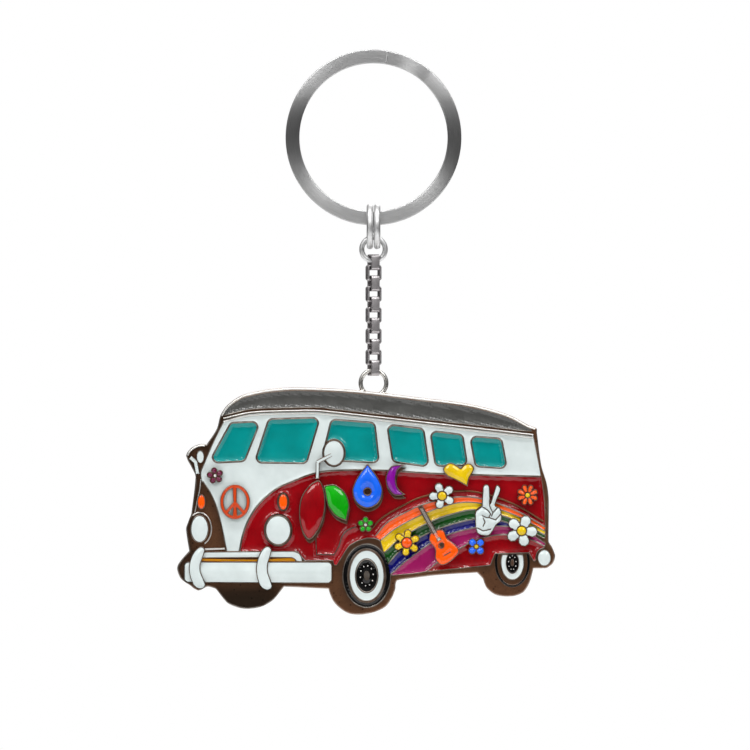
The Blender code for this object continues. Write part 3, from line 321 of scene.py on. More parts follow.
class Border:
    """Distance to a set of polylines, through their points and the stretches beside them."""

    def __init__(self, lines, closed):
        self.points = np.vstack(lines)
        self.before, self.after = [], []
        start = 0
        for line, shut in zip(lines, closed):
            n = len(line)
            ids = np.arange(start, start + n)
            self.before.append(np.roll(ids, 1) if shut else np.maximum(ids - 1, start))
            self.after.append(np.roll(ids, -1) if shut else np.minimum(ids + 1, start + n - 1))
            start += n
        self.before, self.after = np.concatenate(self.before), np.concatenate(self.after)
        self.tree = KDTree(len(self.points))
        for n, p in enumerate(self.points):
            self.tree.insert((p[0], p[1], 0.0), n)
        self.tree.balance()

    def distance(self, places):
        near = np.array([self.tree.find((p[0], p[1], 0.0))[1] for p in places], int)
        best = np.full(len(places), 1e9)
        for other in (self.before, self.after):
            a, b = self.points[near], self.points[other[near]]
            way = b - a
            size = np.maximum(np.sum(way * way, 1), 1e-12)
            t = np.clip(np.sum((places - a) * way, 1) / size, 0, 1)[:, None]
            best = np.minimum(best, np.linalg.norm(places - a - t * way, axis=1))
        return best


def inside(points, loops):
    """Even-odd test of points against closed loops."""
    total = np.zeros(len(points), int)
    for loop in loops:
        a, b = loop, np.roll(loop, -1, 0)
        low, high = loop.min(0), loop.max(0)
        near = np.nonzero(((points >= low) & (points <= high)).all(1))[0]
        for k in range(0, len(near), 3000):
            part = near[k : k + 3000]
            x, y = points[part, 0:1], points[part, 1:2]
            spans = (a[:, 1] > y) != (b[:, 1] > y)
            rise = np.where(a[:, 1] == b[:, 1], 1.0, b[:, 1] - a[:, 1])
            total[part] += np.sum(spans & (x < a[:, 0] + (y - a[:, 1]) / rise * (b[:, 0] - a[:, 0])), axis=1)
    return total % 2 == 1


def patch(loops, rings, grid, lines=(), line_rings=()):
    """Triangles that fill loops, with rows of points beside the borders and beside inner lines."""
    loops = [one if area(one) > 0 else one[::-1] for one in loops[:1]] + [
        one if area(one) < 0 else one[::-1] for one in loops[1:]
    ]
    border = Border(loops, [True] * len(loops))
    marks = None
    if len(lines):
        marks = Border(list(lines), [len(one) > 3 and np.allclose(one[0], one[-1]) for one in lines])
    points, edges = [], []

    def row(places, good, shut):
        """Add the good places, joined where they follow each other."""
        ids = np.full(len(places), -1)
        first = len(points)
        ids[good] = first + np.arange(int(good.sum()))
        points.extend(places[good])
        following = np.roll(ids, -1) if shut else np.append(ids[1:], -1)
        edges.extend((int(a), int(b)) for a, b in zip(ids, following) if a >= 0 and b >= 0)

    for loop in loops:
        row(loop, np.ones(len(loop), bool), True)
    for reach in rings:
        for loop in loops:
            places = loop - normals(loop) * reach
            if reach > 0.5:
                places = places[::2]
            good = border.distance(places) > reach * 0.93
            if marks is not None:
                good &= marks.distance(places) > max(line_rings) + 0.06
            row(places, good & inside(places, loops), True)
    if marks is not None:
        for line in lines:
            side = normals(line, False)
            for reach in line_rings:
                for sign in (-1, 1) if reach > 0 else (1,):
                    places = line + side * reach * sign
                    good = (border.distance(places) > 0.04) & (marks.distance(places) > reach * 0.9)
                    row(places, good & inside(places, loops), False)
    low, high = loops[0].min(0), loops[0].max(0)
    rows = np.arange(low[1], high[1], grid * 0.866)
    spots = np.array(
        [(u + (n % 2) * grid / 2, v) for n, v in enumerate(rows) for u in np.arange(low[0], high[0], grid)]
    ).reshape(-1, 2)
    if len(spots):
        good = inside(spots, loops)
        good[good] &= border.distance(spots[good]) > (max(rings) if len(rings) else 0.0) + grid * 0.5
        if marks is not None:
            good[good] &= marks.distance(spots[good]) > max(line_rings) + grid * 0.4
        points.extend(spots[good])
    found = delaunay_2d_cdt([Vector((float(p[0]), float(p[1]))) for p in points], edges, [], 0, 1e-5, False)
    flat = np.array([tuple(v) for v in found[0]])
    faces = np.array([tuple(f) for f in found[2]])
    a, b, c = (flat[faces[:, k]] for k in range(3))
    double = (b - a)[:, 0] * (c - a)[:, 1] - (b - a)[:, 1] * (c - a)[:, 0]
    faces = np.where(double[:, None] > 0, faces, faces[:, ::-1])[np.abs(double) > 1e-9]
    faces = faces[inside(flat[faces].mean(1), loops)]
    apart = border.distance(flat)
    from_lines = marks.distance(flat) if marks is not None else np.full(len(flat), 9.0)
    return flat, faces, apart, from_lines, loops


def border_edges(faces):
    """Directed edges that have no neighbour."""
    pairs = {(int(f[k]), int(f[(k + 1) % 3])) for f in faces for k in range(3)}
    return [(a, b) for a, b in pairs if (b, a) not in pairs]


def lift(flat, depth):
    """World places of drawing points at one depth or at a depth each."""
    return [at(p[0], p[1], d) for p, d in zip(flat, np.broadcast_to(depth, len(flat)))]


# ------------------------------------------------------------------ pieces


def piece(name, verts, faces, skins, body, nodes=(), face_skins=None, weld=True, sharp=42.0):
    """A finished visible piece on its body, welded, shaded smooth and sharp at its hard edges."""
    data = bpy.data.meshes.new(name)
    data.from_pydata([tuple(map(float, v)) for v in verts], [], [tuple(map(int, f)) for f in faces])
    for skin in skins:
        data.materials.append(skin)
    if face_skins is not None:
        data.polygons.foreach_set("material_index", np.array(face_skins, np.int32))
    if weld:
        mesh = bmesh.new()
        mesh.from_mesh(data)
        bmesh.ops.remove_doubles(mesh, verts=mesh.verts, dist=2e-7)
        bmesh.ops.delete(mesh, geom=[v for v in mesh.verts if not v.link_faces], context="VERTS")
        bmesh.ops.recalc_face_normals(mesh, faces=mesh.faces)
        mesh.to_mesh(data)
        mesh.free()
    data.shade_smooth()
    data.set_sharp_from_angle(angle=math.radians(sharp))
    return settle(placed(name, data), body, nodes)


def settle(item, body, nodes=()):
    """Tie a piece to its body and hide the solids it replaces."""
    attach(item, body)
    if nodes:
        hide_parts(*nodes)
    return item


def round_edge(apart, radius):
    """How far below its top a rounded edge lies at a distance from the border."""
    t = np.clip(1 - apart / radius, 0, 1)
    return radius * (1 - np.sqrt(1 - t**2))


def slab(flat, faces, depth, under):
    """A front skin, the same skin turned over as its back, and the wall between the two."""
    n = len(flat)
    out = [tuple(f) for f in faces]
    out += [tuple(n + k for k in f[::-1]) for f in faces]
    out += [(b, a, n + a, n + b) for a, b in border_edges(faces)]
    return lift(flat, depth) + lift(flat, under), out


def pool_piece(name, skin, sink, crinkle=0.25, spread=0.3):
    """Enamel in a pocket: it climbs the walls and lies a little lower in the middle."""
    loops = [refine(one) for one in cap_loops(name, True)]
    loops = [one + normals(one) * POOL_GROWTH for one in loops]
    flat, faces, apart, _, _ = patch(loops, (0.05, 0.12, 0.2, 0.3, 0.44, 0.62, 0.85), 0.7)
    # the climb's width wanders, and the middle waves by a hundredth of a millimetre
    wander = np.sin(7.3 * flat[:, 0] + 3.1 * flat[:, 1]) * np.sin(3.7 * flat[:, 0] - 8.9 * flat[:, 1] + 1.3)
    reach = spread * (1 + crinkle * wander)
    depth = POOL_RIM - sink * (1 - np.exp(-((apart / reach) ** 1.4)))
    depth += 0.012 * np.sin(flat[:, 0] * 1.7 + 0.6 * flat[:, 1]) * np.sin(flat[:, 1] * 2.1) * np.minimum(apart, 1)
    verts, all_faces = slab(flat, faces, depth, POOL_BED)
    return piece(name + "_enamel", verts, all_faces, [skin], "van_charm", (name,))


def casting():
    """The plate: a rounded outer edge, rounded raised lines between the pockets and a plain back."""
    loops = [refine(one) for one in cap_loops("van_plate", True)]
    outer = Border([loops[0]], [True])
    flat, faces, apart, _, loops = patch(loops, (0.03, 0.07, 0.13, 0.22, 0.34), 1.1)
    from_edge = outer.distance(flat)
    depth = PLATE - np.maximum(round_edge(from_edge, 0.22), round_edge(apart, 0.13))
    back_flat, back_faces, back_apart, _, _ = patch(loops[:1], (0.03, 0.07, 0.13, BACK_ROUNDING), 2.0)
    # the border itself lies exactly at the walls' foot, so that the two are welded
    back_depth = np.where(back_apart < 1e-3, BACK_ROUNDING, round_edge(back_apart, BACK_ROUNDING))
    pairs = border_edges(faces)
    edge_ids = {a for a, b in pairs if from_edge[a] < 1e-3}
    outer_pairs = [(a, b) for a, b in pairs if a in edge_ids]
    inner_pairs = [(a, b) for a, b in pairs if a not in edge_ids]
    verts = lift(flat, depth)
    count = len(verts)
    all_faces = [tuple(f) for f in faces]
    verts += lift(back_flat, back_depth)
    all_faces += [tuple(count + n for n in f[::-1]) for f in back_faces]
    count = len(verts)
    verts += lift(flat, depth) + lift(flat, BACK_ROUNDING) + lift(flat, POCKET_FLOOR)
    n = len(flat)
    all_faces += [(count + b, count + a, count + n + a, count + n + b) for a, b in outer_pairs]
    all_faces += [(count + b, count + a, count + 2 * n + a, count + 2 * n + b) for a, b in inner_pairs]
    for loop in loops[1:]:
        bed, bed_faces, _, _, _ = patch([loop], (), 50.0)
        first = len(verts)
        verts += lift(bed, POCKET_FLOOR)
        all_faces += [tuple(first + k for k in f) for f in bed_faces]
    item = piece("van_casting", verts, all_faces, [CAST], "van_charm", ("van_plate",))
    mark_rubbed(item, Border(loops, [True] * len(loops)), 0.3, PLATE, 0.6, outer)
    return item


# the left outline, down from the roof's front end, along which shade is painted on the casting
LEFT_EDGE = Border(
    [
        refine(
            [
                (-25.3, -5.4), (-26.2, -7.8), (-27.9, -10.4), (-30.0, -10.8), (-31.2, -12.2), (-29.7, -15.8),
                (-30.2, -20.5), (-31.2, -24.5), (-30.8, -28.0), (-32.5, -30.8), (-31.2, -33.4),
            ],
            0.3, closed=False,
        )
    ],
    [False],
)


def mark_rubbed(item, border, reach, top, share=1.0, rim=None):
    """Raised places near a border are rubbed bright; flats and low places stay brown."""
    co = np.array([tuple(v.co) for v in item.data.vertices])
    flat = np.stack([co[:, 0], co[:, 2] - ORIGIN_Z], 1) / MM
    depth = HALF - co[:, 1] / MM
    near = share * np.clip(1.15 - border.distance(flat) / reach, 0, 1) ** 1.2
    high = np.clip((depth - (top - 0.3)) / 0.25, 0, 1)
    u, v = flat[:, 0], flat[:, 1]
    # painted shade: the casting is darkened under the bumper at the lower left
    under = np.exp(-(((u + 21.5) / 8.5) ** 4) - ((v + 36.4) / 3.2) ** 4)
    # painted shade: the casting is darkened along the left outline
    side = np.exp(-((LEFT_EDGE.distance(flat) / 0.95) ** 2))
    dark = item.data.attributes.new("tarnish_and_painted_shade", "FLOAT", "POINT")
    # between the pockets, and in the steps beside the shapes, polish and dirt stay behind
    if rim:
        dull = 0.8 * np.exp(-((border.distance(flat) / 0.4) ** 2)) * np.clip((rim.distance(flat) - 0.7) / 0.3, 0, 1)
        dull *= depth > HALF
    else:
        dull = 0.65 * (1 - high) + 0.6 * (1 - share) * high
    # the darkening is dirt between the pockets and in the steps, plus painted shade under the bumper and along the
    # left edge
    dark.data.foreach_set("value", np.clip(0.95 * under + 0.85 * side + dull, 0, 1).astype(np.float32))
    mark = item.data.attributes.new("rubbed", "FLOAT", "POINT")
    mark.data.foreach_set("value", (near * high).astype(np.float32))


def raised(
    name, skin, top, dome, loops=None, lines=(), inner=(), border=0.2, foot=SEAT - 0.2, nodes=None,
    line_half=0.09, spread=0.45, shine=0.45,
):
    """A cast shape standing on the plate: brown walls, a bright rim line and enamel inside it."""
    if loops is None:
        loops = [refine(one, 0.13) for one in cap_loops(name, False)]
    rings = [0.03, 0.07] + [border + k for k in (-0.03, 0.0, 0.04, 0.12, 0.25, 0.42, 0.65)]
    steps = (0.0, line_half * 0.6, line_half, line_half + 0.04, line_half + 0.14)
    flat, faces, apart, from_lines, loops = patch(loops, rings, 0.42, lines, steps)
    inward = np.minimum(apart - border, from_lines - line_half)
    rise = np.clip(inward, 0, None)
    depth = np.where(
        inward > 1e-4,
        top - 0.05 - 0.03 * np.exp(-((rise / 0.05) ** 2)) + dome * (1 - np.exp(-((rise / spread) ** 1.4))),
        top - round_edge(apart, 0.08),
    )
    centre = flat[faces].mean(1)
    is_metal = (apart[faces].mean(1) < border - 0.004) | (from_lines[faces].mean(1) < line_half - 0.004)
    kinds = np.where(is_metal, 0, 1)
    skins = [CAST, skin]
    for test, extra in inner:
        skins.append(extra)
        kinds = np.where(~is_metal & test(centre), len(skins) - 1, kinds)
    verts, all_faces = slab(flat, faces, depth, foot)
    kinds = list(kinds) + [0] * (len(all_faces) - len(kinds))
    nodes = (name,) if nodes is None else nodes
    item = piece(name + "_relief", verts, all_faces, skins, "van_charm", nodes, kinds)
    bright = [np.array(one) for one in loops]
    shut = [True] * len(bright)
    for line in lines:
        bright.append(line)
        shut.append(False)
    mark_rubbed(item, Border(bright, shut), 0.35, top, shine)
    return item


# ------------------------------------------------------------------ node trees for what follows a path


def open_tree(name, numbers):
    """A tree with geometry in and out, named numbers for its sizes and a material."""
    tree = bpy.data.node_groups.new(name, "GeometryNodeTree")
    sockets = [("Geometry", "INPUT", "Geometry")] + [(word, "INPUT", "Float") for word in numbers]
    for word, way, kind in sockets + [("Material", "INPUT", "Material"), ("Geometry", "OUTPUT", "Geometry")]:
        tree.interface.new_socket(word, in_out=way, socket_type="NodeSocket" + kind)
    return tree, add(tree, "NodeGroupInput").outputs


def close_tree(tree, source, shape, smooth):
    """Make the shape real, shade it, give it the material and hand it out."""
    done = add(tree, "GeometryNodeRealizeInstances", None, {"Geometry": shape})
    if smooth:
        done = add(tree, "GeometryNodeSetShadeSmooth", None, {"Geometry": done.outputs[0]})
    done = add(tree, "GeometryNodeSetMaterial", None, {"Geometry": done.outputs[0], "Material": source["Material"]})
    add(tree, "NodeGroupOutput", None, {"Geometry": done.outputs[0]})
    return tree


def sweep_tree():
    """An oval profile swept along the object's own edges."""
    tree, source = open_tree("line_swept_along_path", ("Width", "Height"))
    curve = add(tree, "GeometryNodeMeshToCurve", None, {"Mesh": source["Geometry"]})
    profile = add(tree, "GeometryNodeCurvePrimitiveCircle", {"Resolution": 12, "Radius": 0.5})
    size = add(tree, "ShaderNodeCombineXYZ", {"Z": 1.0}, {"X": source["Width"], "Y": source["Height"]})
    shaped = add(
        tree, "GeometryNodeTransform", None, {"Geometry": profile.outputs["Curve"], "Scale": size.outputs[0]}
    )
    swept = add(
        tree, "GeometryNodeCurveToMesh", {"Fill Caps": True},
        {"Curve": curve.outputs[0], "Profile Curve": shaped.outputs[0]},
    )
    return close_tree(tree, source, swept.outputs[0], True)


def studs_tree():
    """Round studs set on the object's own points."""
    tree, source = open_tree("studs_on_points", ("Radius",))
    ball = add(tree, "GeometryNodeMeshIcoSphere", {"Subdivisions": 2}, {"Radius": source["Radius"]})
    spots = add(
        tree, "GeometryNodeInstanceOnPoints", None,
        {"Points": source["Geometry"], "Instance": ball.outputs["Mesh"]},
    )
    return close_tree(tree, source, spots.outputs[0], True)


def link_tree():
    """One chain link: flat strip bent round a rounded rectangle."""
    tree, source = open_tree("flat_strip_link", ("Width", "Height", "Corner", "Strip", "Thickness", "Edge"))
    rounded = []
    for across, up, radius, count in (("Width", "Height", "Corner", 6), ("Thickness", "Strip", "Edge", 3)):
        box = add(
            tree, "GeometryNodeCurvePrimitiveQuadrilateral", None, {"Width": source[across], "Height": source[up]}
        )
        rounded.append(
            add(
                tree, "GeometryNodeFilletCurve", {"mode": "POLY", "Count": count},
                {"Curve": box.outputs[0], "Radius": source[radius]},
            )
        )
    swept = add(
        tree, "GeometryNodeCurveToMesh", None,
        {"Curve": rounded[0].outputs[0], "Profile Curve": rounded[1].outputs[0]},
    )
    return close_tree(tree, source, swept.outputs[0], False)


SWEEP, STUDS, LINK = sweep_tree(), studs_tree(), link_tree()


def grown(name, data, tree, inputs):
    """Run a node tree on a mesh and return the plain result, with the modifier gone."""
    item = placed(name + "_base", data)
    step = item.modifiers.new("grow", "NODES")
    step.node_group = tree
    keys = {s.name: s.identifier for s in tree.interface.items_tree if s.in_out == "INPUT"}
    for word, value in inputs.items():
        step[keys[word]] = value
    graph = bpy.context.evaluated_depsgraph_get()
    done = item.evaluated_get(graph)
    result = bpy.data.meshes.new_from_object(done, preserve_all_data_layers=True, depsgraph=graph)
    item.modifiers.remove(step)
    bpy.data.objects.remove(item)
    result.name = name
    return result


def polyline(points, closed):
    """A mesh of edges through the points."""
    data = bpy.data.meshes.new("path")
    n = len(points)
    edges = [(k, (k + 1) % n) for k in range(n if closed else n - 1)]
    data.from_pydata([tuple(map(float, p)) for p in points], edges, [])
    return data


def swept_line(name, points, width, height, skin, body="van_charm", nodes=(), closed=False):
    """A wire or raised line along world points."""
    sizes = {"Width": width * MM, "Height": height * MM, "Material": skin}
    data = grown(name, polyline(points, closed), SWEEP, sizes)
    return settle(placed(name, data), body, nodes)


def ridge(name, path, depth, width, height, skin):
    """A rounded metal line, smooth through the path's points, lying on the front at a depth."""
    return swept_line(name, lift(refine(path, 0.2, closed=False), depth), width, height, skin)


# ------------------------------------------------------------------ rings and chain


def swept_rings(name, stations, skin, body, uv=None):
    """A coil skinned over its stations, which are rings of points, with both ends closed."""
    rings, count = len(stations), len(stations[0])
    verts = [p for ring in stations for p in ring]
    faces = []
    for a in range(0, (rings - 1) * count, count):
        for k in range(count):
            n = (k + 1) % count
            faces.append((a + k, a + n, a + count + n, a + count + k))
    faces.append(tuple(range(count)))
    faces.append(tuple((rings - 1) * count + k for k in range(count))[::-1])
    item = piece(name, verts, faces, [skin], body, (body,), weld=False, sharp=50.0)
    mesh = bmesh.new()
    mesh.from_mesh(item.data)
    bmesh.ops.recalc_face_normals(mesh, faces=mesh.faces)
    if uv is not None:
        layer = mesh.loops.layers.uv.new("along")
        mesh.verts.ensure_lookup_table()
        for face in mesh.faces:
            around = [v.index % count for v in face.verts]
            wraps = max(around) == count - 1 and min(around) == 0
            for corner in face.loops:
                k = corner.vert.index % count
                across = uv[1][k] if not (wraps and k == 0) else uv[1][-1] + 0.3
                corner[layer].uv = (uv[0][corner.vert.index // count], across)
    mesh.to_mesh(item.data)
    mesh.free()
    return item


def rounded_section(width, height, radius):
    """A rectangle with round corners, about its middle."""
    half_u, half_w = width / 2 - radius, height / 2 - radius
    out = []
    for n, (sx, sy) in enumerate(((1, 1), (-1, 1), (-1, -1), (1, -1))):
        for t in [math.pi / 2 * (n + k / 4) for k in range(5)]:
            out.append((sx * half_u + radius * math.cos(t), sy * half_w + radius * math.sin(t)))
    return out


def coil_turns(ramp_deg, gap_deg, steps, radius):
    """Stations along two turns with a crossover between them, close together at the cut ends."""
    ramp = math.radians(ramp_deg)
    near = [0.05 / radius, 0.12 / radius, 0.22 / radius]
    start = ramp / 2 + math.radians(gap_deg)
    finish = 4 * math.pi - start
    flat = (finish - start - ramp) / 2
    turns = [start] + [start + k for k in near] + list(np.linspace(start, start + flat, steps, endpoint=False))[1:]
    turns += list(np.linspace(start + flat, start + flat + ramp, 24, endpoint=False))
    turns += list(np.linspace(start + flat + ramp, finish, steps))[:-1] + [finish - k for k in near[::-1]] + [finish]
    return turns, ramp


def coil_shift(turned, ramp, pitch):
    """How far a station lies to one side, from one turn's place to the other's."""
    t = min(1.0, max(0.0, (turned - 2 * math.pi + ramp / 2) / ramp))
    return pitch * (3 * t**2 - 2 * t**3 - 0.5)


def coil_stations(turns, start, section, radius, shifts, eases):
    """The section carried along the turns as (across, outward, up), its two ends eased down to a blunt round."""
    last = len(turns) - 1
    stations = []
    for n, (t, shift) in enumerate(zip(turns, shifts)):
        ease = eases[min(n, last - n, 3)]
        out = (math.cos(start + t), math.sin(start + t))
        reach = [(w * ease + shift, radius + u * ease) for u, w in section]
        stations.append([(side, out[0] * far, out[1] * far) for side, far in reach])
    return stations


def split_ring():
    """Flat strip in two turns, brushed along its length, with its cut ends at the upper right."""
    low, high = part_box("split_ring")
    centre = ((low.x + high.x) / 2, (low.z + high.z) / 2)
    outer, strip, layer, gap = (high.x - low.x) / 2 / MM, 2.3, 1.0, 0.06
    radius = outer - strip / 2
    section = rounded_section(strip, layer, 0.2)
    turns, ramp = coil_turns(30.0, 3.0, 150, radius)
    shifts = [coil_shift(t, ramp, layer + gap) for t in turns]
    coil = coil_stations(turns, math.radians(62.0), section, radius, shifts, (0.8, 0.93, 0.985, 1.0))
    stations = [[(centre[0] + b * MM, a * MM, centre[1] + c * MM) for a, b, c in ring] for ring in coil]
    along = [radius * (t - turns[0]) for t in turns]
    across = list(np.cumsum([0.0] + [math.dist(p, q) for p, q in zip(section, section[1:])]))
    swept_rings("split_ring_strip", stations, BRUSHED, "split_ring", (along, across))


def connector():
    """Round wire in two turns, seen edge-on, with its cut ends at the back."""
    low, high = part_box("connector_ring")
    centre = ((low.y + high.y) / 2, (low.z + high.z) / 2)
    radius, wire, pitch = 3.25, 0.55, 1.2
    turns, ramp = coil_turns(50.0, 12.0, 60, radius)
    section = [(wire * math.cos(a), wire * math.sin(a)) for a in np.linspace(0, 2 * math.pi, 18, endpoint=False)]
    shifts = [-coil_shift(t, ramp, pitch) for t in turns]
    coil = coil_stations(turns, 0.0, section, radius, shifts, (0.35, 0.75, 0.93, 1.0))
    stations = [[(a * MM, centre[0] + b * MM, centre[1] + c * MM) for a, b, c in ring] for ring in coil]
    swept_rings("connector_ring_wire", stations, SATIN, "connector_ring")


def circle_path(centre, radius, steps, start=0.0, finish=360.0):
    """World points round an upright circle, between two angles in degrees."""
    t = np.radians(np.linspace(start, finish, steps, endpoint=finish - start < 360))
    return [(centre[0] + radius * MM * math.cos(a), centre[1], centre[2] + radius * MM * math.sin(a)) for a in t]


def jump_ring():
    """A closed ring of round wire, seen face-on."""
    low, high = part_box("jump_ring")
    centre = ((low.x + high.x) / 2, 0.0, (low.z + high.z) / 2)
    swept_line(
        "jump_ring_wire", circle_path(centre, 1.95, 64), 0.86, 0.86, SATIN,
        "jump_ring", ("jump_ring",), True,
    )


def chain():
    """Eleven strip links, every other one turned a quarter round."""
    for n in range(11):
        name = f"chain_link_{n + 1:02d}"
        low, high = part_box(name)
        data = grown(
            name + "_strip", bpy.data.meshes.new("none"), LINK,
            {"Width": 2.1 * MM, "Height": high.z - low.z - 0.3 * MM, "Corner": 0.3 * MM, "Strip": 1.4 * MM,
             "Thickness": 0.3 * MM, "Edge": 0.08 * MM, "Material": LINKS},
        )
        upright = Matrix.Rotation(math.pi / 2, 4, "X")
        turn = Matrix.Rotation(math.radians(19.0 + (90.0 if n % 2 == 0 else 0.0)), 4, "Z")
        data.transform(Matrix.Translation((low + high) / 2) @ turn @ upright)
        data.shade_smooth()
        data.set_sharp_from_angle(angle=math.radians(40))
        settle(placed(name + "_strip", data), name, (name,))


def roof_loop():
    """The soldered wire loop, sunk in the roof edge, with a little solder at both feet."""
    centre = (0.0, 0.0, ORIGIN_Z)
    swept_line(
        "roof_loop_wire", circle_path(centre, 2.14, 60, -62, 242), 0.72, 0.72, WIRE,
        nodes=("hanger_loop",),
    )
    for n, (u, v, size) in enumerate(((-1.72, -1.36, 0.62), (1.62, -1.78, 0.58))):
        mesh = bmesh.new()
        bmesh.ops.create_uvsphere(mesh, u_segments=20, v_segments=12, radius=1.0)
        for vert in mesh.verts:
            x, y, z = vert.co
            skew = 0.35 * (1 - z) * (-1 if n == 0 else 1)
            vert.co = Vector(at(u + x * size + skew * size, v + z * 0.34, HALF - y * 0.5))
        data = bpy.data.meshes.new(f"solder_{n + 1}")
        mesh.to_mesh(data)
        mesh.free()
        data.materials.append(WIRE)
        data.shade_smooth()
        settle(placed(data.name, data), "van_charm")


# ------------------------------------------------------------------ the charm


def flower_piece(name, skin, centre, petals, first, core, core_skin, distance, radius):
    """Petals parted by bright lines round a raised eye."""
    half = math.pi / petals
    ring = ellipse(*centre, core, core)
    ring = np.vstack([ring, ring[:1]])
    lines = [ring]
    for k in range(petals):
        way = math.radians(first) + 2 * half * k + half
        out = np.array([math.cos(way), math.sin(way)])
        reach = distance * math.cos(half) + math.sqrt(max(radius**2 - (distance * math.sin(half)) ** 2, 0.0))
        lines.append(np.array(centre) + np.linspace(core, max(reach, core + 0.2), 8)[:, None] * out)
    spot = np.array(centre)
    inner = [(lambda p: np.linalg.norm(p - spot, axis=1) < core, core_skin)]
    raised(name, skin, MID, 0.3, lines=lines, inner=inner, border=0.15, line_half=0.1, spread=0.42, shine=0.25)


FLOWERS = (
    ("flower_white_front", WHITE, (11.42, -18.8), 5, 39, 0.78, YELLOW, 1.5, 0.78),
    ("flower_white_rear", WHITE, (24.67, -24.62), 5, 67, 0.82, YELLOW, 1.75, 0.98),
    ("flower_blue", BLUE, (17.13, -27.25), 4, 43, 0.42, YELLOW, 0.95, 0.7),
    ("flower_orange", ORANGE, (25.67, -18.68), 8, 22, 0.47, YELLOW, 1.35, 0.48),
    ("flower_yellow", YELLOW, (5.55, -26.62), 6, 24, 0.9, ORANGE, 1.6, 0.68),
    ("flower_green", LEAF, (-1.33, -23.63), 5, 90, 0.34, SILVER, 0.85, 0.53),
    ("flower_plum", PLUM, (-26.38, -15.45), 5, 100, 0.34, SILVER, 0.9, 0.53),
)


def grown_outline(node, reach):
    """A solid's outline widened, which closes the gap that its seat needs."""
    loops = [refine(one, 0.13) for one in cap_loops(node, False)]
    return [one + normals(one) * reach for one in loops]


def charm():
    """The casting, its enamel pools and the shapes that stand on it."""
    casting()
    for name, skin, how in (
        ("roof_enamel", GREY, {"sink": 0.32, "crinkle": 0.6, "spread": 0.36}),
        ("body_white", WHITE, {"sink": 0.12}),
        ("body_red", RED, {"sink": 0.31}),
        ("body_red_rear", RED, {"sink": 0.31}),
        ("band_orange", ORANGE, {"sink": 0.26}),
        ("band_yellow", YELLOW, {"sink": 0.28}),
        ("band_green", GREEN, {"sink": 0.28}),
        ("band_navy", NAVY, {"sink": 0.28}),
        ("band_magenta", MAGENTA, {"sink": 0.26}),
        ("front_tyre_ring", BLACK, {"sink": 0.1}),
        ("front_white_ring", WHITE, {"sink": 0.06}),
        ("front_hub", BLACK, {"sink": 0.1}),
        ("rear_white_ring", WHITE, {"sink": 0.06}),
    ):
        pool_piece(name, skin, **how)
    for n in range(6):
        pool_piece(f"window_{n + 1}", TEAL, sink=0.32, crinkle=0.15, spread=0.34)
    raised("bumper_bar", WHITE, LOW, 0.32, border=0.18, spread=0.9, shine=0.3)
    raised("bumper_rail", WHITE, LOW, 0.08, loops=[refine(RAIL, 0.13, sharp=50)], border=0.14, spread=0.3, shine=0.3)
    for n in (1, 2):
        loops = [one + normals(one) * 0.16 for one in (refine(c, 0.13) for c in cap_loops(f"bumper_guard_{n}", True))]
        raised(f"bumper_guard_{n}", WHITE, HIGH - 0.1, 0.34, loops=loops, border=0.15, shine=0.3)
        raised(f"headlight_{n}", WHITE, MID, 0.32, loops=grown_outline(f"headlight_{n}", 0.1), border=0.2, spread=0.9)
        raised(f"signal_{n}", ORANGE, MID, 0.15, loops=grown_outline(f"signal_{n}", 0.08), border=0.14)
    raised("mirror_disc", WHITE, MID, 0.24, loops=grown_outline("mirror_disc", 0.1), border=0.16, spread=0.8)
    raised("bumper_end", WHITE, LOW, 0.34, border=0.14, spread=0.6)
    raised("peace_sign", RUST, LOW, 0.05, border=0.1, spread=0.15)
    raised("heart", YELLOW, MID, 0.26, border=0.18)
    raised("hand", WHITE, MID, 0.28, border=0.15, spread=0.42, line_half=0.09, shine=0.25, lines=[
        refine(np.array(one), 0.13, closed=False) for one in (
            [(17.23, -21.21), (18.06, -20.58), (19.00, -21.17), (19.54, -21.83), (19.21, -22.33)],
            [(19.67, -22.17), (19.88, -21.63), (20.83, -20.54)],
            [(19.42, -22.46), (20.35, -22.79), (21.25, -21.79)],
            [(19.83, -21.48), (19.38, -20.54), (19.31, -19.50)],
            [(18.06, -22.04), (18.75, -22.38), (19.25, -22.42)],
            [(18.21, -23.92), (18.58, -23.15), (18.27, -22.52)],
            [(17.29, -24.13), (18.27, -24.63), (19.58, -24.33)],
        )
    ])
    raised("guitar_body", ORANGE, MID, 0.14, border=0.14, lines=[
        np.vstack([ellipse(11.27, -27.1, 0.42, 0.42), ellipse(11.27, -27.1, 0.42, 0.42)[:1]]),
        np.array([(11.75, -28.75), (12.3, -28.45), (12.85, -28.1)]),
    ])
    for name, skin in (("relief_board", RED), ("relief_leaf", LEAF), ("relief_drop", BLUE), ("relief_moon", PURPLE)):
        raised(name, skin, HIGH, 0.36, border=0.2, spread=0.55)
        foot = refine(cap_loops(name, False)[0], 0.13) + np.array([0.12, -0.6])
        inlay(name + "_step", CAST, [foot], top=PLATE + 0.45, dome=0.0, shine=0.3)
    for row in FLOWERS:
        flower_piece(*row)
    fittings()


def ribbon(path, width):
    """The closed outline of a band of even width along a line, with square ends."""
    line = np.array(path, float)
    side = normals(line, False)
    return np.vstack([line + side * width / 2, (line - side * width / 2)[::-1]])


def fine_path(path, step=0.15):
    """Points at even short steps along straight stretches."""
    out = []
    for a, b in zip(path, path[1:]):
        count = max(1, int(math.dist(a, b) / step))
        out += [(a[0] + (b[0] - a[0]) * k / count, a[1] + (b[1] - a[1]) * k / count) for k in range(count)]
    return np.array(out + [path[-1]])


def inlay(name, skin, loops, top=PLATE + 0.14, dome=0.03, border=0.07, **how):
    """A shallow shape lying on the plate that has no solid of its own in the frame."""
    return raised(name, skin, top, dome, loops=loops, border=border, foot=PLATE - 0.3, nodes=(), **how)


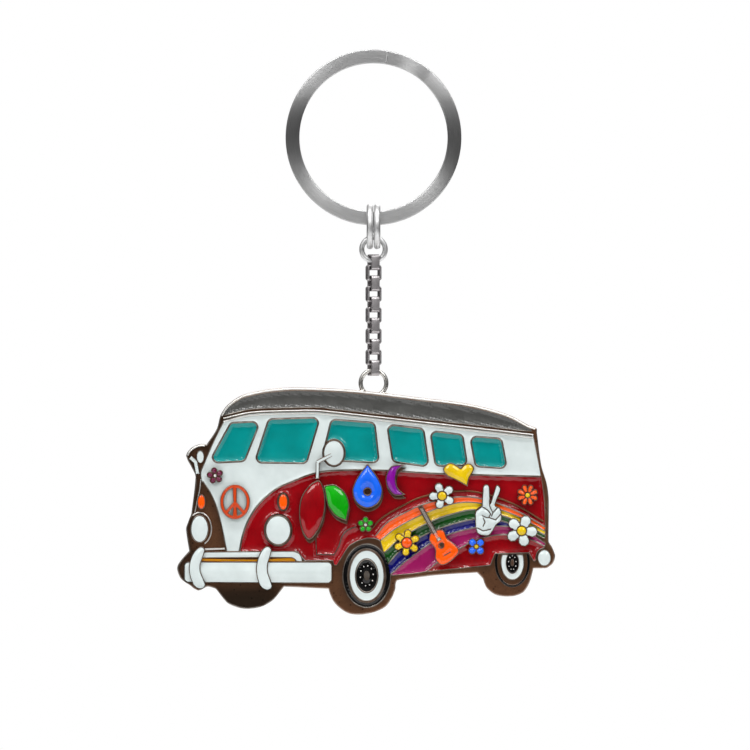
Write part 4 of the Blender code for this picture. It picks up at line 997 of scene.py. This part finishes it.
def studs(name, places, depth, radius):
    """Small pressed studs at drawing points."""
    data = bpy.data.meshes.new(name + "_points")
    data.from_pydata([at(u, v, depth) for u, v in places], [], [])
    data = grown(name, data, STUDS, {"Radius": radius * MM, "Material": SILVER})
    return settle(placed(name, data), "van_charm")


def arc(cu, cv, ru, rv, start, finish, count=40):
    """Points along an ellipse between two angles in degrees."""
    t = np.radians(np.linspace(start, finish, count))
    return np.stack([cu + ru * np.cos(t), cv + rv * np.sin(t)], 1)


def stretch(loop, chosen):
    """The unbroken run of a loop's chosen points, in order."""
    first = int(np.nonzero(chosen & ~np.roll(chosen, 1))[0][0])
    return np.roll(loop, -first, 0)[: int(chosen.sum())]


def fittings():
    """Small parts that have no solid of their own in the frame."""
    # the near mirror's bent arm, and the line that runs on from it down the door
    arm = ribbon(fine_path([(-6.85, -11.9), (-9.3, -13.15), (-9.36, -15.95)]), 0.62)
    raised("mirror_arm", WHITE, HIGH - 0.15, 0.08, loops=[arm], border=0.12, nodes=(), spread=0.2)
    ridge("door_shut_line", [(-9.3, -15.9), (-9.25, -17.4), (-9.45, -19.0)], PLATE, 0.16, 0.12, CAST)
    # the far mirror, seen past the windscreen pillar
    inlay("far_mirror", WHITE, [ellipse(-28.85, -12.3, 0.68, 1.1)], top=PLATE + 0.2, border=0.14)
    far = ribbon(fine_path([(-30.5, -12.4), (-29.65, -13.15), (-29.3, -15.1)]), 0.7)
    inlay("far_mirror_arm", WHITE, [far], top=PLATE + 0.3, border=0.1)
    # amber lamp strip between the two bumper bars
    amber = [
        (-28.7, -29.2), (-20.0, -29.35), (-13.9, -29.1), (-12.95, -29.35), (-13.05, -29.8), (-20.0, -29.85),
        (-28.7, -29.72),
    ]
    inlay("amber_strip", AMBER, [refine(np.array(amber)[::-1], 0.14)], top=PLATE + 0.25, border=0.05)
    # a small step of bare metal at the foot of the left panel
    step = np.array([(-28.1, -27.9), (-24.8, -27.75), (-24.8, -27.45), (-28.1, -27.5)])
    inlay("panel_step", SILVER, [refine(step, 0.14)], top=PLATE + 0.2, border=0.04)
    # bright lip of the far headlight's bezel
    low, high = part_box("headlight_1")
    mid = ((low.x + high.x) / 2 / MM, ((low.z + high.z) / 2 - ORIGIN_Z) / MM)
    lip = arc(*mid, (high.x - low.x) / 2 / MM + 0.5, (high.z - low.z) / 2 / MM + 0.45, -65, 125)
    swept_line("far_headlight_lip", lift(lip, PLATE), 0.24, 0.26, SILVER)
    # rear wheel: tyre line, hub and its eye
    tyre = arc(23.13, -29.97, 2.95, 4.1, 158, 382, 90)
    gap = arc(23.13, -29.97, 2.5, 3.65, 382, 158, 90)
    inlay("rear_tyre_line", BLACK, [np.vstack([tyre, gap])], border=0.05)
    inlay("rear_hub", BLACK, [np.vstack([arc(23.13, -29.95, 1.1, 1.85, 130, 410, 60)])], border=0.07)
    inlay("rear_hub_eye", CAST, [ellipse(23.13, -29.95, 0.32, 0.6)], top=PLATE + 0.22, border=0.06)
    # pressed studs round both hubs
    spots = [(23.13 + 0.64 * math.cos(a), -29.95 + 1.15 * math.sin(a)) for a in np.radians(np.arange(10, 370, 40))]
    studs("rear_hub_studs", [p for p in spots if p[1] > -31.6], PLATE + 0.1, 0.1)
    spots = [(-1.13 + 1.08 * math.cos(a), -32.13 + 1.68 * math.sin(a)) for a in np.radians(np.arange(8, 368, 36))]
    studs("front_hub_studs", spots, PLATE - 0.02, 0.12)
    # guitar neck with its strings, bridge and sound hole
    neck = ribbon(fine_path([(7.75, -20.5), (11.0, -26.45)]), 0.85)
    raised("guitar_neck", CAST, MID + 0.05, 0.02, loops=[neck], border=0.1, nodes=(), shine=0.35)
    for n, shift in enumerate((-0.16, 0.0, 0.16)):
        path = [(7.95 + shift, -20.9), (10.75 + shift, -25.9)]
        swept_line(f"guitar_string_{n + 1}", lift(fine_path(path, 0.4), MID + 0.1), 0.06, 0.06, SILVER)
    nut = ribbon(fine_path([(10.55, -26.2), (11.2, -25.85)]), 0.5)
    raised("guitar_nut", SILVER, MID + 0.16, 0.02, loops=[nut], border=0.08, nodes=())
    hole = ellipse(11.4, -27.0, 0.38, 0.46)
    raised("guitar_sound_hole", CAST, MID + 0.12, 0.0, loops=[hole], border=0.06, nodes=(), shine=0.3)
    # the rainbow's upper line stands in the red
    top = [
        (-0.6, -24.6), (1.42, -22.5), (4.4, -20.7), (7.75, -19.1), (11.75, -18.25),
        (15.1, -18.0), (17.75, -18.3), (21.1, -19.3), (24.4, -20.7), (28.3, -23.1),
    ]
    ridge("rainbow_top_line", top, PLATE - 0.08, 0.22, 0.3, CAST)
    # bright edge of the roof and the rain gutter's two lines
    rim = refine(cap_loops("van_plate", True)[0])
    rim = rim if area(rim) > 0 else rim[::-1]
    rim = rim - normals(rim) * 0.24
    edge = stretch(rim, rim[:, 1] > -5.55 - (rim[:, 0] + 25.5) * 0.041)
    swept_line("roof_edge", lift(edge, PLATE - 0.1), 0.5, 0.34, SILVER)
    # the far mirror's bright lip, and a bright line down the far edge below it
    edge = stretch(rim, (rim[:, 0] < -28.1) & (rim[:, 1] > -12.1) & (rim[:, 1] < -9.6))
    swept_line("far_mirror_lip", lift(edge, PLATE - 0.1), 0.46, 0.34, SILVER)
    edge = [(-28.75, -16.0), (-29.0, -18.0), (-29.35, -19.6), (-29.75, -21.6)]
    swept_line("far_edge_line", lift(refine(edge, 0.2, closed=False), PLATE), 0.2, 0.2, SILVER)
    for n, (drop, width) in enumerate(((-0.1, 0.5), (-0.63, 0.24))):
        line = refine(GUTTER, 0.2, closed=False) + np.array([0.0, drop])
        swept_line(f"gutter_line_{n + 1}", lift(line, PLATE), width, 0.24, SILVER)


RAIL = [
    (-28.6, -29.19), (-20.6, -29.12), (-13.75, -29.12), (-13.1, -29.4), (-12.77, -29.75), (-11.8, -29.8),
    (-11.95, -28.98), (-12.5, -28.28), (-13.6, -27.98), (-20.0, -28.02), (-28.6, -28.12),
]
GUTTER = [
    (-25.0, -5.78), (-20.1, -4.75), (-12.25, -4.47), (-8.38, -4.55), (2.67, -5.78), (14.05, -7.07), (26.6, -8.5),
]

# ------------------------------------------------------------------ stage


def studio():
    """Camera, floor, lamps and room."""
    lens = bpy.data.cameras.new("camera")
    lens.type = "PERSP"
    distance = 2.2
    lens.sensor_width = 36.0
    lens.lens = 36.0 * distance / 0.125
    lens.clip_start, lens.clip_end = 0.1, 20.0
    camera = placed("camera", lens)
    camera.location = (0.25 * MM, -distance, ORIGIN_Z + 1.33 * MM)
    camera.rotation_euler = (math.pi / 2, 0, 0)
    bpy.context.scene.camera = camera

    mesh = bmesh.new()
    bmesh.ops.create_circle(mesh, cap_ends=True, segments=64, radius=0.25)
    data = bpy.data.meshes.new("floor")
    mesh.to_mesh(data)
    mesh.free()
    skin, _, shader, _ = new_material("pale_floor")
    shader.inputs["Base Color"].default_value = colour("f4f4f4")
    shader.inputs["Roughness"].default_value = 0.8
    data.materials.append(skin)
    floor = placed("floor", data)
    floor.location = (0, 0, ORIGIN_Z - 76 * MM)

    def lamp(name, place, size, power):
        """A white soft light that looks at the charm's top."""
        light = bpy.data.lights.new(name, "AREA")
        light.shape = "RECTANGLE"
        light.size, light.size_y = size
        light.energy = power
        item = placed(name, light)
        item.location = place
        aim = Vector((0, 0, ORIGIN_Z)) - Vector(place)
        item.rotation_euler = aim.to_track_quat("-Z", "Y").to_euler()

    lamp("upper_left_softbox", (-0.46, -0.75, 0.44), (0.3, 0.3), 2.2)
    lamp("upper_right_softbox", (0.46, -0.75, 0.44), (0.3, 0.3), 2.1)
    lamp("top_strip", (0.0, -0.2, 0.62), (0.9, 0.07), 4.6)
    lamp("low_left_fill", (-0.6, -0.6, -0.35), (0.4, 0.4), 0.8)
    lamp("back_fill", (0.1, 0.8, 0.4), (0.5, 0.5), 2.0)

    world = bpy.data.worlds.new("studio")
    bpy.context.scene.world = world
    world.use_nodes = True
    tree = world.node_tree
    tree.nodes.clear()
    # a pale room, darker low down, so that the metal has something to mirror; the eye sees it white
    way = add(tree, "ShaderNodeTexCoord").outputs["Generated"]
    split = add(tree, "ShaderNodeSeparateXYZ", None, {"Vector": way})
    room = remap(tree, split.outputs["Z"], 0.05, 0.7, -0.05, 0.8)
    dim = add(tree, "ShaderNodeBackground", {"Color": (1, 1, 1, 1)}, {"Strength": room})
    white = add(tree, "ShaderNodeBackground", {"Color": (1, 1, 1, 1), "Strength": 1.0})
    eye = add(tree, "ShaderNodeLightPath").outputs["Is Camera Ray"]
    both = add(tree, "ShaderNodeMixShader", None, {0: eye, 1: dim.outputs[0], 2: white.outputs[0]})
    add(tree, "ShaderNodeOutputWorld", None, {"Surface": both.outputs[0]})
    bpy.context.scene.view_settings.view_transform = "Standard"


split_ring()
connector()
jump_ring()
chain()
roof_loop()
charm()
studio()
